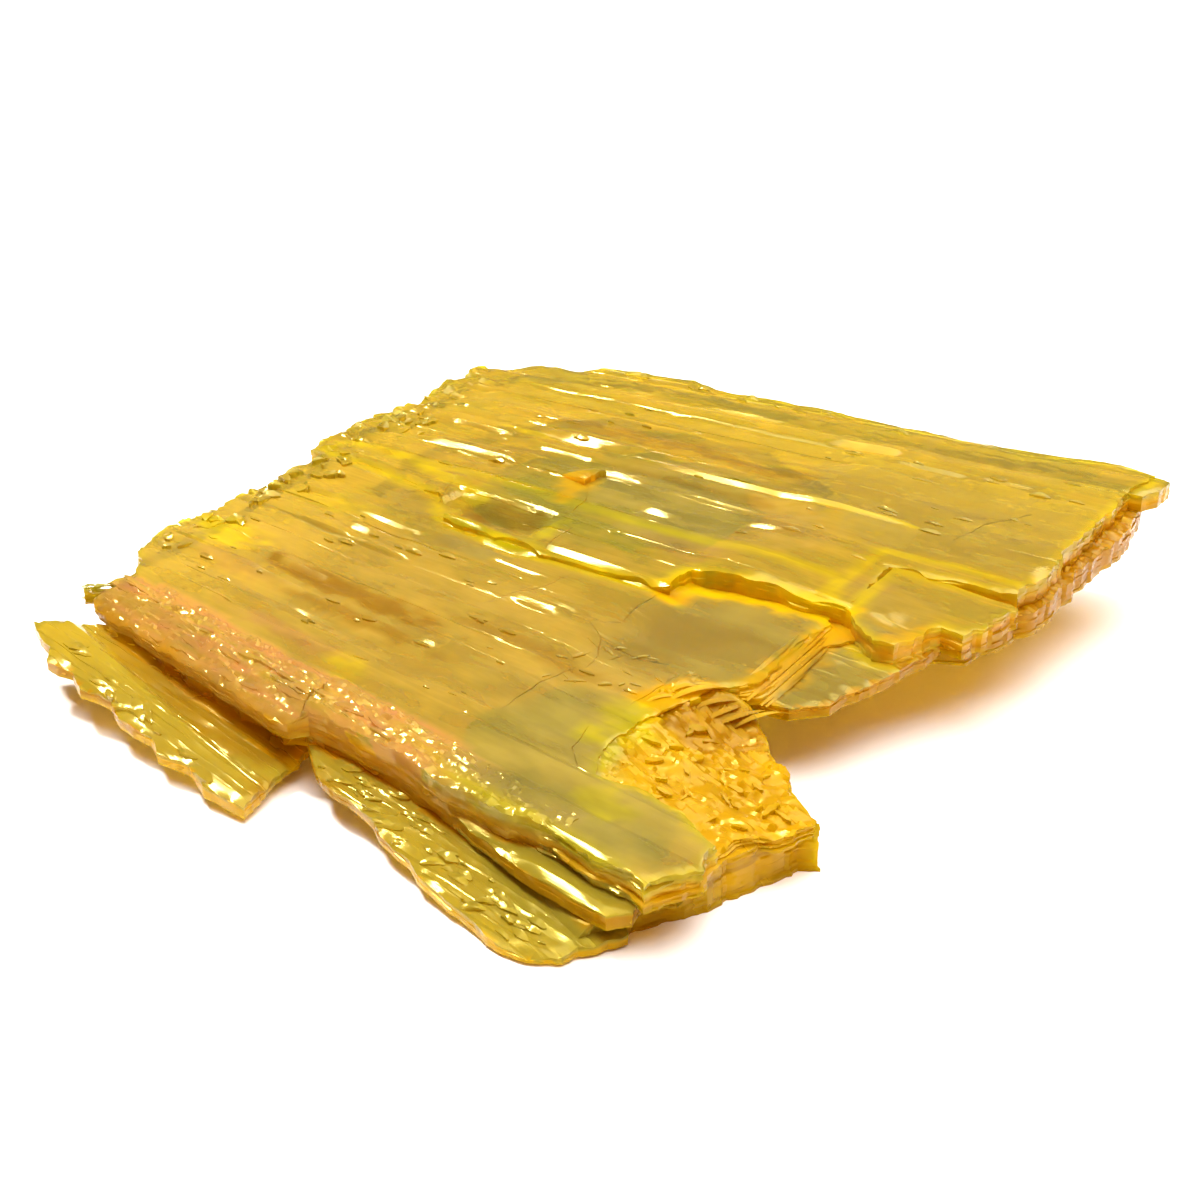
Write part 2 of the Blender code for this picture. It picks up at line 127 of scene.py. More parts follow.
def mean_top(x: Array, y: Array) -> Array:
    """Height of the plate's mean top plane, which falls towards +x and rises towards the far edge."""
    return TOP_HEIGHT - TOP_FALL * x + TOP_CLIMB * y


@dataclass(frozen=True)
class Fan:
    """The direction of the striations, which fan out slightly across the plate."""

    at_zero: float = math.radians(-3.2)
    per_mm: float = math.radians(0.28)

    def y_of(self, row: Array, x: Array) -> Array:
        """The y of a row at x."""
        return row + x * np.tan(self.at_zero + self.per_mm * row)

    def row_of(self, x: Array, y: Array) -> Array:
        """The row through a point, found by three steps of substitution.

        Args:
            x: places along x in the plan.
            y: places along y in the plan.

        Returns:
            The row through each point, mm.
        """
        row = y
        for _ in range(3):
            row = y - x * np.tan(self.at_zero + self.per_mm * row)
        return row

    def along(self, row: Array) -> tuple[Array, Array]:
        """The unit direction of a row in the plan."""
        turn = self.at_zero + self.per_mm * row
        return np.cos(turn), np.sin(turn)


FAN = Fan()


RIDGE_PROFILE = (                # across a ridge: place, in its widths, and height, as a share of its rise
    (-1.6, 0.0), (0.0, -0.5), (0.55, 0.08), (1.0, 0.5), (3.4, 0.0),
)
RIDGE_FADE = 0.35                # how abruptly a ridge ends: the power of its swell along x


@dataclass(frozen=True)
class Ridge:
    """A striation with one steep side that faces the near edge and catches the light, mm.

    Attributes:
        row: the foot of the steep side.
        start: where it starts along x.
        end: where it ends.
        width: how wide the steep side is.
        rise: the steep side's slope at the middle of its length.
    """

    row: float
    start: float
    end: float
    width: float
    rise: float = 0.60

    def rows(self) -> tuple[float, ...]:
        """The rows where its slope changes."""
        return tuple(self.row + place * self.width for place, _ in RIDGE_PROFILE)

    def height(self, x: Array, row: Array) -> Array:
        """Its height at each point: it fades towards both ends.

        Args:
            x: places along x in the plan.
            row: the rows through the same points.

        Returns:
            The height at each point, mm.
        """
        share = np.clip((x - self.start) / (self.end - self.start), 0.0, 1.0)
        full = self.rise * self.width * (4 * share * (1 - share)) ** RIDGE_FADE
        return full * np.interp(row, self.rows(), [height for _, height in RIDGE_PROFILE])


RIDGES = (
    Ridge(8.00, -18.2, -11.3, 0.55),
    Ridge(12.55, -12.6, -6.8, 0.62),
    Ridge(12.00, -6.2, 9.6, 0.26),
    Ridge(9.75, -7.8, -4.2, 0.36),
    Ridge(9.70, -2.0, 2.8, 0.16),
    Ridge(6.95, -2.9, -0.5, 0.30),
    Ridge(6.30, -3.9, -2.0, 0.16),
    Ridge(8.25, 2.5, 4.8, 0.22),
    Ridge(0.05, -7.9, -4.0, 0.34),
    Ridge(0.60, -11.4, -7.7, 0.26, 0.40),
    Ridge(0.85, -4.6, 3.1, 0.30),
    Ridge(-3.75, -2.6, 0.5, 0.42),
    Ridge(-2.95, -1.3, 1.2, 0.16),
    Ridge(19.60, 1.0, 5.1, 0.40),
    Ridge(18.80, 4.7, 9.2, 0.24, 0.42),
    Ridge(19.20, 9.8, 12.5, 0.16),
    Ridge(-0.75, -19.4, -16.6, 0.30),
    Ridge(-3.90, -16.6, -13.0, 0.36),
    Ridge(-2.70, -14.5, -12.2, 0.32),
    Ridge(-3.80, -12.9, -9.0, 0.30),
    Ridge(-2.35, -11.0, -9.2, 0.24),
    Ridge(-7.95, -15.9, -10.2, 0.38),
    Ridge(11.25, -18.8, -14.0, 0.24),
    Ridge(21.15, -16.5, -10.5, 0.18, 0.44),
    Ridge(20.90, -6.9, -2.2, 0.16),
    Ridge(4.35, -17.2, -9.8, 0.52, 0.36),
    Ridge(-1.20, -15.4, -10.0, 0.22, 0.42),
    Ridge(10.80, -12.2, -8.2, 0.18),
    Ridge(15.30, -1.6, 7.9, 0.40, 0.26),
    Ridge(-10.70, -13.5, -6.5, 0.24, 0.46),
    Ridge(-9.30, -3.2, -1.9, 0.24),
)


@dataclass(frozen=True)
class Flutes:
    """Broad low ribs along the rows, one for each step of the rows, mm."""

    step: float = 1.05
    height: float = 0.09
    count: int = 60
    before_zero: int = 25
    seed: int = 11

    def __call__(self, x: Array, y: Array) -> Array:
        """Their height at each point."""
        rng = random.Random(self.seed)
        heights = [rng.uniform(-self.height, self.height) for _ in range(self.count)]
        return np.interp(FAN.row_of(x, y) / self.step + self.before_zero, np.arange(self.count), heights)


flutes = Flutes()


def ridges(x: Array, y: Array) -> Array:
    """The heights of all the ridges."""
    row = FAN.row_of(x, y)
    return sum((ridge.height(x, row) for ridge in RIDGES), np.zeros_like(row))


def basin(x: Array, y: Array) -> Array:
    """Depth of the shallow basin where a flake of the far leaf has come away."""
    inside = [
        np.minimum(ramp(place, start, start + BASIN_SLOPE), until(place, end, BASIN_SLOPE))
        for place, (start, end) in zip((x, y), BASIN)
    ]
    return BASIN_DEPTH * np.minimum(*inside)


def step_part(x: Array, line: float, low: float, tall: float) -> Array:
    """Height beside the middle step: a line at the left, a low step, and a tall one at the right."""
    return line + low * ramp(x, *LOW_STEP) + tall * ramp(x, *TALL_STEP)


def far_top(x: Array, y: Array) -> Array:
    """The far leaf: it stands highest over the step and comes down to the mean plane behind."""
    lift = step_part(x, 0.05, 0.10, 0.22) * (1 - ramp(x, 6.0, 10.5))
    lift = lift * (1 - 0.8 * ramp(y, STEP_Y, 24.0))
    return mean_top(x, y) + lift + flutes(x, y) + ridges(x, y) - basin(x, y)


def window(x: Array, y: Array) -> Array:
    """1 in the smooth pane of the near leaf beside the step, 0 elsewhere."""
    return ramp(x, *PANE_LEFT) * ramp(y, *PANE_NEAR)


def near_top(x: Array, y: Array) -> Array:
    """The near leaf: level with the mean plane at its near edge, sunk below the far leaf's step."""
    sink = step_part(x, 0.04, 0.12, 0.44) * ramp(y, -16.0, STEP_Y)
    return mean_top(x, y) - sink + (1 - 0.8 * window(x, y)) * (flutes(x, y) + ridges(x, y))


def step_top(x: Array, y: Array) -> Array:
    """The step leaf at the wing's root, with its shell-shaped chip."""
    under_far = np.maximum(until(x, 10.7, 0.3), ramp(y, 8.4, 8.7))
    sink = 0.03 + 0.38 * ramp(x, 10.5, 15.5) * ramp(y, 3.0, 8.0) + 0.4 * under_far
    return mean_top(x, y) - sink + 0.6 * flutes(x, y) - CHIP_DEPTH * dome(x, y, *CHIP)


def flake_top(x: Array, y: Array) -> Array:
    """A loose corner of a leaf, tilted up."""
    return far_top(x, y) + 0.15 + 0.30 * ramp(x, -8.4, -6.8)


@dataclass(frozen=True)
class Line:
    """A straight line in the plan: its y at one x, and the slope from there, mm."""

    x: float
    y: float
    slope: float

    def beyond(self, x: Array, y: Array) -> Array:
        """How far each point lies on the near side of the line."""
        return self.y + self.slope * (x - self.x) - y


FOLD_CREST = Line(-18.6, -12.1, -0.20)     # where the fold starts to slope down
FOLD_DROP, FOLD_WIDTH = 1.15, 1.8
STRIP_EDGE = Line(-3.8, -15.2, -0.187)
GROOVE_EDGE = Line(-16.0, -15.2, -0.24)
SHEET_DEPTH = 1.75                         # of the bottom leaf and the front block


def fold_top(x: Array, y: Array) -> Array:
    """The wrinkled fold along the near edge: it slopes from the near leaf down to the amber band."""
    slope = FOLD_DROP * ramp(FOLD_CREST.beyond(x, y), 0.0, FOLD_WIDTH)
    return mean_top(x, y) - 0.02 - slope + 0.05 * np.sin(2.4 * x + 3.1 * y)


def block_top(x: Array, y: Array) -> Array:
    """The front block's top, which passes below the bottom leaf outside the strip."""
    return mean_top(x, y) - SHEET_DEPTH - 1.3 * ramp(STRIP_EDGE.beyond(x, y), 0.0, 0.3)


def shelf_top(x: Array, y: Array) -> Array:
    """The broken shelf of the front block, with coarse wrinkles and a hollow at its far side."""
    sink = 0.30 + 1.05 * ramp(x, 8.4, 13.2)
    hollow = HOLLOW_DEPTH * dome(x, y, *HOLLOW)
    wrinkle = 0.10 * np.sin(2.1 * x + 0.9 * y) * np.cos(1.7 * y - 0.8 * x)
    return mean_top(x, y) - sink - hollow + wrinkle


def bottom_leaf_top(x: Array, y: Array) -> Array:
    """The thin sheet that runs down to the table along the near edge."""
    return mean_top(x, y) - SHEET_DEPTH - 0.035 * (x + 3.0) - 0.10 * until(y, -16.5, 3.0)


def bottom_leaf_under(x: Array, y: Array) -> Array:
    """Its underside, which almost touches the table."""
    return np.maximum(0.12, mean_top(x, y) - 2.20 - 0.050 * (x + 3.0))


def left_leaf_top(x: Array, y: Array) -> Array:
    """The thin sheet that stands out below the left end, with a sunk band beside the fold."""
    groove = ramp(-GROOVE_EDGE.beyond(x, y), 0.0, 0.5)
    return mean_top(x, y) - 1.40 - 0.062 * (x + 21.4) - GROOVE_DEPTH * groove


def left_leaf_under(x: Array, y: Array) -> Array:
    """Its underside."""
    return mean_top(x, y) - 2.05 - 0.062 * (x + 21.4)


def below_top(depth: float) -> Surface:
    """A surface that keeps one depth below the mean top plane."""
    return lambda x, y: mean_top(x, y) - depth


def zero(x: Array, y: Array) -> Array:
    """0 everywhere: the plane that the plate rests on, or no overhang."""
    return np.zeros_like(x)


def notch_overhang(x: Array, y: Array) -> Array:
    """How far the near leaf's fibrous edge stands out at its foot, where it overhangs the notch."""
    return 0.7 * ramp(x, 9.4, 10.0) * ramp(y, -4.6, -3.4) * until(y, 4.0, 1.0)


# ---------------------------------------------------------------------------------------------
# Fine relief


def value_noise(u: Array, v: Array, seed: int) -> Array:
    """Smooth random heights between -1 and 1 over a square lattice of unit cells.

    Args:
        u: first coordinate, in cells.
        v: second coordinate, in cells.
        seed: which random lattice.

    Returns:
        The height at each point.
    """
    table = np.random.default_rng(seed).uniform(-1, 1, (128, 128))
    iu, iv = np.floor(u).astype(int), np.floor(v).astype(int)
    fu, fv = u - iu, v - iv
    fu, fv = fu * fu * (3 - 2 * fu), fv * fv * (3 - 2 * fv)
    low = table[iu % 128, iv % 128] * (1 - fu) + table[(iu + 1) % 128, iv % 128] * fu
    high = table[iu % 128, (iv + 1) % 128] * (1 - fu) + table[(iu + 1) % 128, (iv + 1) % 128] * fu
    return low * (1 - fv) + high * fv


def cell_facets(u: Array, v: Array, seed: int) -> tuple[Array, Array]:
    """A broken surface of small flat facets, one for each cell of a jittered lattice.

    Args:
        u: first coordinate, in cells.
        v: second coordinate, in cells.
        seed: which random lattice.

    Returns:
        Each point's facet height, between -1 and 1, and the rise that its facet's tilt adds.
    """
    rng = np.random.default_rng(seed)
    jitter_u, jitter_v, level, tilt_u, tilt_v = rng.uniform(-1, 1, (5, 64, 64))
    iu, iv = np.floor(u).astype(int), np.floor(v).astype(int)
    nearest = np.full(u.shape, 1e9)
    height, rise = np.zeros(u.shape), np.zeros(u.shape)
    for du in (-1, 0, 1):
        for dv in (-1, 0, 1):
            cell = ((iu + du) % 64, (iv + dv) % 64)
            away_u = u - (iu + du + 0.5 + 0.45 * jitter_u[cell])
            away_v = v - (iv + dv + 0.5 + 0.45 * jitter_v[cell])
            away = away_u**2 + away_v**2
            closer = away < nearest
            nearest = np.where(closer, away, nearest)
            height = np.where(closer, level[cell], height)
            rise = np.where(closer, tilt_u[cell] * away_u + tilt_v[cell] * away_v, rise)
    return height, rise


@dataclass(frozen=True)
class Cells:
    """An uneven surface over cells of one size, mm, and which random lattice lies under it."""

    length: float
    width: float
    lattice: int

    def swell(self, x: Array, y: Array) -> Array:
        """Smooth heights between -1 and 1."""
        return value_noise(x / self.length, y / self.width, self.lattice)

    def facets(
        self, x: Array, y: Array, warp: tuple[Array | float, Array | float] = (0.0, 0.0)
    ) -> tuple[Array, Array]:
        """The heights and the tilts of broken facets, whose cells a warp may bend."""
        return cell_facets(x / self.length + warp[0], y / self.width + warp[1], self.lattice)


TERRACES = Cells(4.5, 1.3, 21)
TOP_SWELL = Cells(2.6, 1.3, 23)
TOP_RIPPLE = Cells(1.1, 0.7, 24)
CRUMBS = Cells(0.55, 0.5, 5)
SHEET_BUMPS = Cells(1.3, 0.55, 9)
SHEET_DIMPLES = Cells(0.6, 0.3, 10)
FOLDS = Cells(2.6, 0.8, 15)
SCALES = Cells(0.50, 0.21, 16)
CHIPS = Cells(0.6, 0.30, 31)
CHIP_WARP = Cells(1.4, 1.4, 33)
CHIP_SWELL = Cells(1.6, 1.2, 34)
PATCH_FRAY = Cells(0.8, 0.35, 41)
ZONE_FRAY = Cells(0.5, 0.4, 43)
STREAKS = Cells(1.6, 0.16, 47)


@dataclass(frozen=True)
class Ribs:
    """Flat treads along the striations with narrow steep lines between them, mm.

    Each tread and line is broken into runs. A tread's run has its own level and a slight tilt. A
    line's run either slopes steeply towards the near edge, where it catches the light, or lies flat.
    """

    seed: int
    tread: tuple[float, float] = (0.40, 2.60)
    tread_run: tuple[float, float] = (2.5, 15.0)
    level: tuple[float, float] = (-0.06, -0.01)
    tilt: float = math.radians(1.6)
    line: tuple[float, float] = (0.07, 0.22)
    line_run: tuple[float, float] = (0.8, 7.0)
    line_tilt: tuple[float, float] = (math.radians(5), math.radians(20))
    line_share: float = 0.25
    tapers: tuple[float, float] = (0.3, 2.2)
    riser: float = 0.03
    spacing: float = 0.48

    def edges(self) -> Array:
        """The rows where treads (even numbers) and lines (odd numbers) meet."""
        rng = np.random.default_rng(self.seed)
        widths = np.stack([rng.uniform(*self.tread, 200), rng.uniform(*self.line, 200)], 1).ravel()
        edges = ROWS[0] + np.cumsum(widths)
        return edges[edges < ROWS[1]]

    def rows(self) -> Array:
        """The rows that carry points: both sides of each band, and more where a tread is wide."""
        edges = self.edges()
        rows = []
        for near, far in zip(edges, edges[1:]):
            count = max(2, 1 + math.ceil((far - near) / self.spacing))
            rows += np.linspace(near + self.riser / 2, far - self.riser / 2, count).tolist()
        return np.array(rows)

    def runs(self, band: int) -> tuple[Array, Array, Array, Array]:
        """The runs of one band: where each ends, its level, its tilt and its tone from 0 to 1.

        Args:
            band: which tread or line it is, counted from the near edge, from 1.

        Returns:
            The four values of each run: mm, mm, radians, and 0 to 1.
        """
        rng = np.random.default_rng([self.seed, band])
        is_line = band % 2 == 0
        ends = SPAN[0] - 4 + np.cumsum(rng.uniform(*(self.line_run if is_line else self.tread_run), 60))
        level = rng.uniform(*self.level, 61)
        tone = rng.uniform(0, 1, 61)
        if is_line:
            steep = rng.uniform(size=61) < self.line_share
            return ends, level, np.where(steep, rng.uniform(*self.line_tilt, 61), 0.0), tone
        return ends, level, rng.normal(0, self.tilt, 61), tone

    def look_up(self, x: Array, row: Array) -> tuple[Array, Array]:
        """The relief and the tone at each point.

        Args:
            x: places along the striations.
            row: the rows through the same points.

        Returns:
            The relief, mm, and the tone, from 0 to 1.
        """
        edges = self.edges()
        bands = np.clip(np.searchsorted(edges, row) - 1, 0, len(edges) - 2)
        height, tone = np.zeros_like(x), np.zeros_like(x)
        for band in np.unique(bands):
            ends, level, tilt, shade = self.runs(int(band))
            here = bands == band
            run = np.searchsorted(ends, x[here])
            taper = self.tapers[0] + (self.tapers[1] - self.tapers[0]) * shade[run] ** 2
            share = ramp(x[here] - ends[run] + taper, 0.0, 1.0 * taper)
            share = share * share * (3 - 2 * share)
            middle = (edges[band] + edges[band + 1]) / 2
            slope = np.tan(tilt[run]) * (1 - share) + np.tan(tilt[run + 1]) * share
            height[here] = level[run] * (1 - share) + level[run + 1] * share
            height[here] += (row[here] - middle) * slope
            tone[here] = shade[run] * (1 - share) + shade[run + 1] * share
        return height, tone


class Relief(Enum):
    """The kinds of fine surface that the leaves show."""

    RIBBED = "ribbed"            # the striated cleavage face
    SILKY = "silky"              # a thin sheet with long straight glints
    WRINKLED = "wrinkled"        # crumpled like foil
    CRUMBLED = "crumbled"        # broken into small facets
    PLAIN = "plain"              # hidden, or seen only from below


POINT_STEPS = {                  # the spacing of a surface's points along a row
    Relief.RIBBED: 0.38, Relief.SILKY: 0.4, Relief.WRINKLED: 0.14, Relief.CRUMBLED: 0.14, Relief.PLAIN: 0.9,
}
LINE_STEPS = {Relief.WRINKLED: 0.10, Relief.CRUMBLED: 0.13, Relief.PLAIN: 0.9}
LINE_GAP = 0.07                  # other rows keep this far from a ridge's steep side
TOP_RIBS = Ribs(seed=3)
SHEET_RIBS = Ribs(
    seed=8, tread=(0.15, 0.60), tread_run=(4.0, 20.0), level=(-0.05, -0.01), line=(0.05, 0.11),
    line_run=(1.5, 9.0),
)


def calm(x: Array, y: Array) -> Array:
    """How strong the ribs stand: full at the left, weaker to the right, faint in the window."""
    return (1.0 - 0.6 * ramp(x, -6.0, 8.0)) * (1 - 0.75 * window(x, y) * until(y, STEP_Y, 0.4))


def crumbs_at_left(x: Array, y: Array) -> Array:
    """1 at the crumbling left end, 0 a few millimetres inside it."""
    return until(x, -19.2, 3.0)


def relief_lines(kind: Relief) -> Array:
    """The rows that a surface of this kind has points on.

    Args:
        kind: the fine surface.

    Returns:
        The rows, in rising order.
    """
    if kind is Relief.RIBBED:
        steep = np.unique([row for ridge in RIDGES for row in ridge.rows()[1:4]])
        others = TOP_RIBS.rows()
        apart = np.abs(others[:, None] - steep[None, :]).min(1) > LINE_GAP
        return np.sort(np.concatenate([steep, others[apart]]))
    if kind is Relief.SILKY:
        return SHEET_RIBS.rows()
    return np.arange(*ROWS, LINE_STEPS[kind])


def relief_height(kind: Relief, x: Array, y: Array, rows: Array) -> Array:
    """Fine heights on top of a leaf's main surface. Each sum ends with what sinks it into place.

    Args:
        kind: the fine surface.
        x: places along x in the plan.
        y: places along y in the plan.
        rows: the rows through the same points.

    Returns:
        The height to add at each point, mm.
    """
    if kind is Relief.RIBBED:
        crumble, slant = CRUMBS.facets(x, y)
        swell = TOP_SWELL.swell(x, rows) + 0.4 * TOP_RIPPLE.swell(x, rows)
        ribs = TOP_RIBS.look_up(x, rows)[0] + 0.04 * TERRACES.facets(x, rows)[0]
        fine = calm(x, y) * ribs + 0.03 * swell
        return fine - 0.04 + crumbs_at_left(x, y) * (0.13 * crumble - 0.12 + 0.25 * slant)
    if kind is Relief.SILKY:
        bumps = SHEET_BUMPS.swell(x, rows) + 0.6 * SHEET_DIMPLES.swell(x, rows)
        return SHEET_RIBS.look_up(x, rows)[0] - 0.03 + 0.06 * bumps
    if kind is Relief.WRINKLED:
        folds = FOLDS.swell(x, rows)
        scales, slant = SCALES.facets(x, rows, (0.3 * folds, 0.6 * folds))
        return 0.06 * folds + 0.13 * slant + 0.02 * scales - 0.07
    if kind is Relief.CRUMBLED:
        warp = CHIP_WARP.swell(x, y)
        height, slant = CHIPS.facets(x, y, (0.5 * warp, warp))
        return 0.03 * height + 0.15 * slant + 0.12 * CHIP_SWELL.swell(x, y) - 0.10
    return np.zeros_like(x)


# ---------------------------------------------------------------------------------------------
# Broken edges


class Edge(Enum):
    """How a leaf's edge broke."""

    SPLINTERED = "splintered"
    CLEAN = "clean"
    FIBROUS = "fibrous"
    WORN = "worn"


@dataclass(frozen=True)
class EdgeStyle:
    """The relief of a broken edge, mm.

    Attributes:
        wander: how far the whole edge strays inward.
        strata: how far each thin layer strays on its own.
        teeth: how far the fibres end short, where the edge cuts across them.
        layer: mean thickness of the thin layers.
        step: spacing of the points along it.
    """

    wander: float
    strata: float
    teeth: float
    layer: float
    step: float


EDGE_STYLES = {
    Edge.SPLINTERED: EdgeStyle(0.18, 0.12, 0.16, 0.17, 0.20),
    Edge.CLEAN: EdgeStyle(0.08, 0.07, 0.14, 0.16, 0.20),
    Edge.FIBROUS: EdgeStyle(0.20, 0.22, 0.12, 0.13, 0.20),
    Edge.WORN: EdgeStyle(0.16, 0.20, 0.25, 0.26, 0.34),
}


@dataclass(frozen=True)
class Rim:
    """The fine line round a leaf: its points, outward directions and place along the line."""

    points: Array
    outward: Array
    along: Array

    @staticmethod
    def of(outline: Outline, ragged: float, step: float, rng: random.Random) -> "Rim":
        """Strays the outline's coarse points, then divides it finely.

        Args:
            outline: counter-clockwise corners in the plan.
            ragged: how far coarse points stray, mm.
            step: spacing of the fine points, mm.
            rng: the leaf's own random numbers.

        Returns:
            The fine rim.
        """
        coarse = []
        for (x0, y0), (x1, y1) in sides(outline):
            length = math.hypot(x1 - x0, y1 - y0)
            count = max(1, round(length / RIM_STEP))
            for k in range(count):
                share = k / count
                stray = rng.uniform(-ragged, ragged) if k else 0.0
                coarse.append((
                    x0 + share * (x1 - x0) + stray * (y1 - y0) / length,
                    y0 + share * (y1 - y0) - stray * (x1 - x0) / length,
                ))
        fine = []
        for (x0, y0), (x1, y1) in sides(coarse):
            count = max(1, round(math.hypot(x1 - x0, y1 - y0) / step))
            fine += [(x0 + k / count * (x1 - x0), y0 + k / count * (y1 - y0)) for k in range(count)]
        points = np.array(fine)
        run = np.roll(points, -2, 0) - np.roll(points, 2, 0)
        run /= np.linalg.norm(run, axis=1, keepdims=True)
        steps = np.linalg.norm(points - np.roll(points, 1, 0), axis=1)
        return Rim(points, np.stack([run[:, 1], -run[:, 0]], 1), np.cumsum(steps))

    def moved(self, out: Array) -> Array:
        """The points moved outward by out, mm."""
        return self.points + self.outward * out[:, None]


# ---------------------------------------------------------------------------------------------
# Leaves


TOOTH_WIDTH = 0.31               # of the fibre ends that show where an edge cuts across them
TOOTH_COUNT = 400
SEAM = 0.02                      # half the share of a leaf's thickness that a step between layers takes


@dataclass(frozen=True)
class Leaf:
    """One sheet of the plate.

    Attributes:
        name: what a person would call it.
        outline: counter-clockwise corners in the plan.
        top: its upper surface.
        under: its lower surface.
        ragged: how far coarse points of the edge stray in the plan, mm.
        lean: how far the foot of the edge stands out beyond its top, mm.
        edge: how its edge broke.
        relief: the fine surface of its top.
        rounding: how far its top falls away at the edge, and over what width, mm.
        overhang: how much farther the foot of the edge stands out at each point, mm.
    """

    name: str
    outline: Outline
    top: Surface
    under: Surface
    ragged: float = 0.14
    lean: float = 0.0
    edge: Edge = Edge.SPLINTERED
    relief: Relief = Relief.PLAIN
    rounding: tuple[float, float] = (0.16, 0.45)
    overhang: Surface = zero

    def column(self) -> Body:
        """The leaf's column: its broken edge as thin layers, from above its top to its underside."""
        style = EDGE_STYLES[self.edge]
        rim = Rim.of(self.outline, self.ragged, style.step, random.Random(self.name))
        rng = np.random.default_rng([len(self.name), *map(ord, self.name)])
        seed = int(rng.integers(1000))
        x, y = rim.points.T
        row = FAN.row_of(x, y)
        along_x, along_y = FAN.along(row)
        across = np.abs(rim.outward[:, 0] * along_x + rim.outward[:, 1] * along_y)
        s = rim.along
        wander = (
            0.5 * value_noise(s / 1.3, 0 * s, seed)
            + 0.3 * value_noise(s / 0.55, 0 * s, seed + 1)
            - 0.5
        )
        fibres = np.random.default_rng(seed).uniform(-1, 0, TOOTH_COUNT)
        teeth = fibres[np.floor(row / TOOTH_WIDTH + 0.4 * np.sin(3 * row)).astype(int) % TOOTH_COUNT]
        shared = style.wander * wander + style.teeth * teeth * across**2

        high, low = self.top(x, y), self.under(x, y)
        thickness = float(np.mean(high - low))
        count = max(2, round(thickness / style.layer))
        cuts = np.cumsum(rng.uniform(0.5, 1.5, count))
        cuts = np.concatenate([[0.0], cuts / cuts[-1]])
        rings = [np.column_stack([rim.moved(shared), np.full(len(s), high.max() + CAP)])]
        for k in range(count):
            own = 0.5 * value_noise(s / 0.9, 0 * s + 7.3 * k, seed + 2)
            own += 0.3 * value_noise(s / 0.33, 0 * s + 5.1 * k, seed + 3)
            own += rng.uniform(-0.5, 0.1)
            out = shared + style.strata * own * (0.4 + 0.6 * float(k > 0))
            for at in (cuts[k] + SEAM, cuts[k + 1] - SEAM):
                lean = self.lean * at + self.overhang(x, y) * at
                z = high + (low - high) * at
                rings.append(np.column_stack([rim.moved(out + lean), z]))
        rings[-1][:, 2] = low
        return solid_of_rings(self.name, rings)

    def block(self) -> Body:
        """A block whose top is the leaf's upper surface with its fine relief."""
        corners = np.array(self.outline)
        low, high = corners.min(0) - 0.6, corners.max(0) + 0.6
        xs = np.arange(low[0], high[0] + 0.4, POINT_STEPS[self.relief])
        lines = relief_lines(self.relief)
        rows = FAN.row_of(*np.meshgrid((low[0], high[0]), (low[1], high[1])))
        keep = (lines > rows.min() - 1.0) & (lines < rows.max() + 1.0)
        x, row = np.meshgrid(xs, lines, indexing="ij")
        y = FAN.y_of(row, x)
        z = self.top(x, y) + relief_height(self.relief, x, y, row)
        if self.relief is not Relief.PLAIN:
            drop, width = self.rounding
            z -= drop * (1 - ramp(edge_distance(x, y, self.outline), 0.0, width)) ** 2
        x, y, z = x[:, keep], y[:, keep], z[:, keep]
        return solid_of_grid(self.name + "_block", x, y, z)

    def solid(self) -> Body:
        """The leaf as a closed solid."""
        return combine(self.column(), [self.block()], Join.INTERSECT)


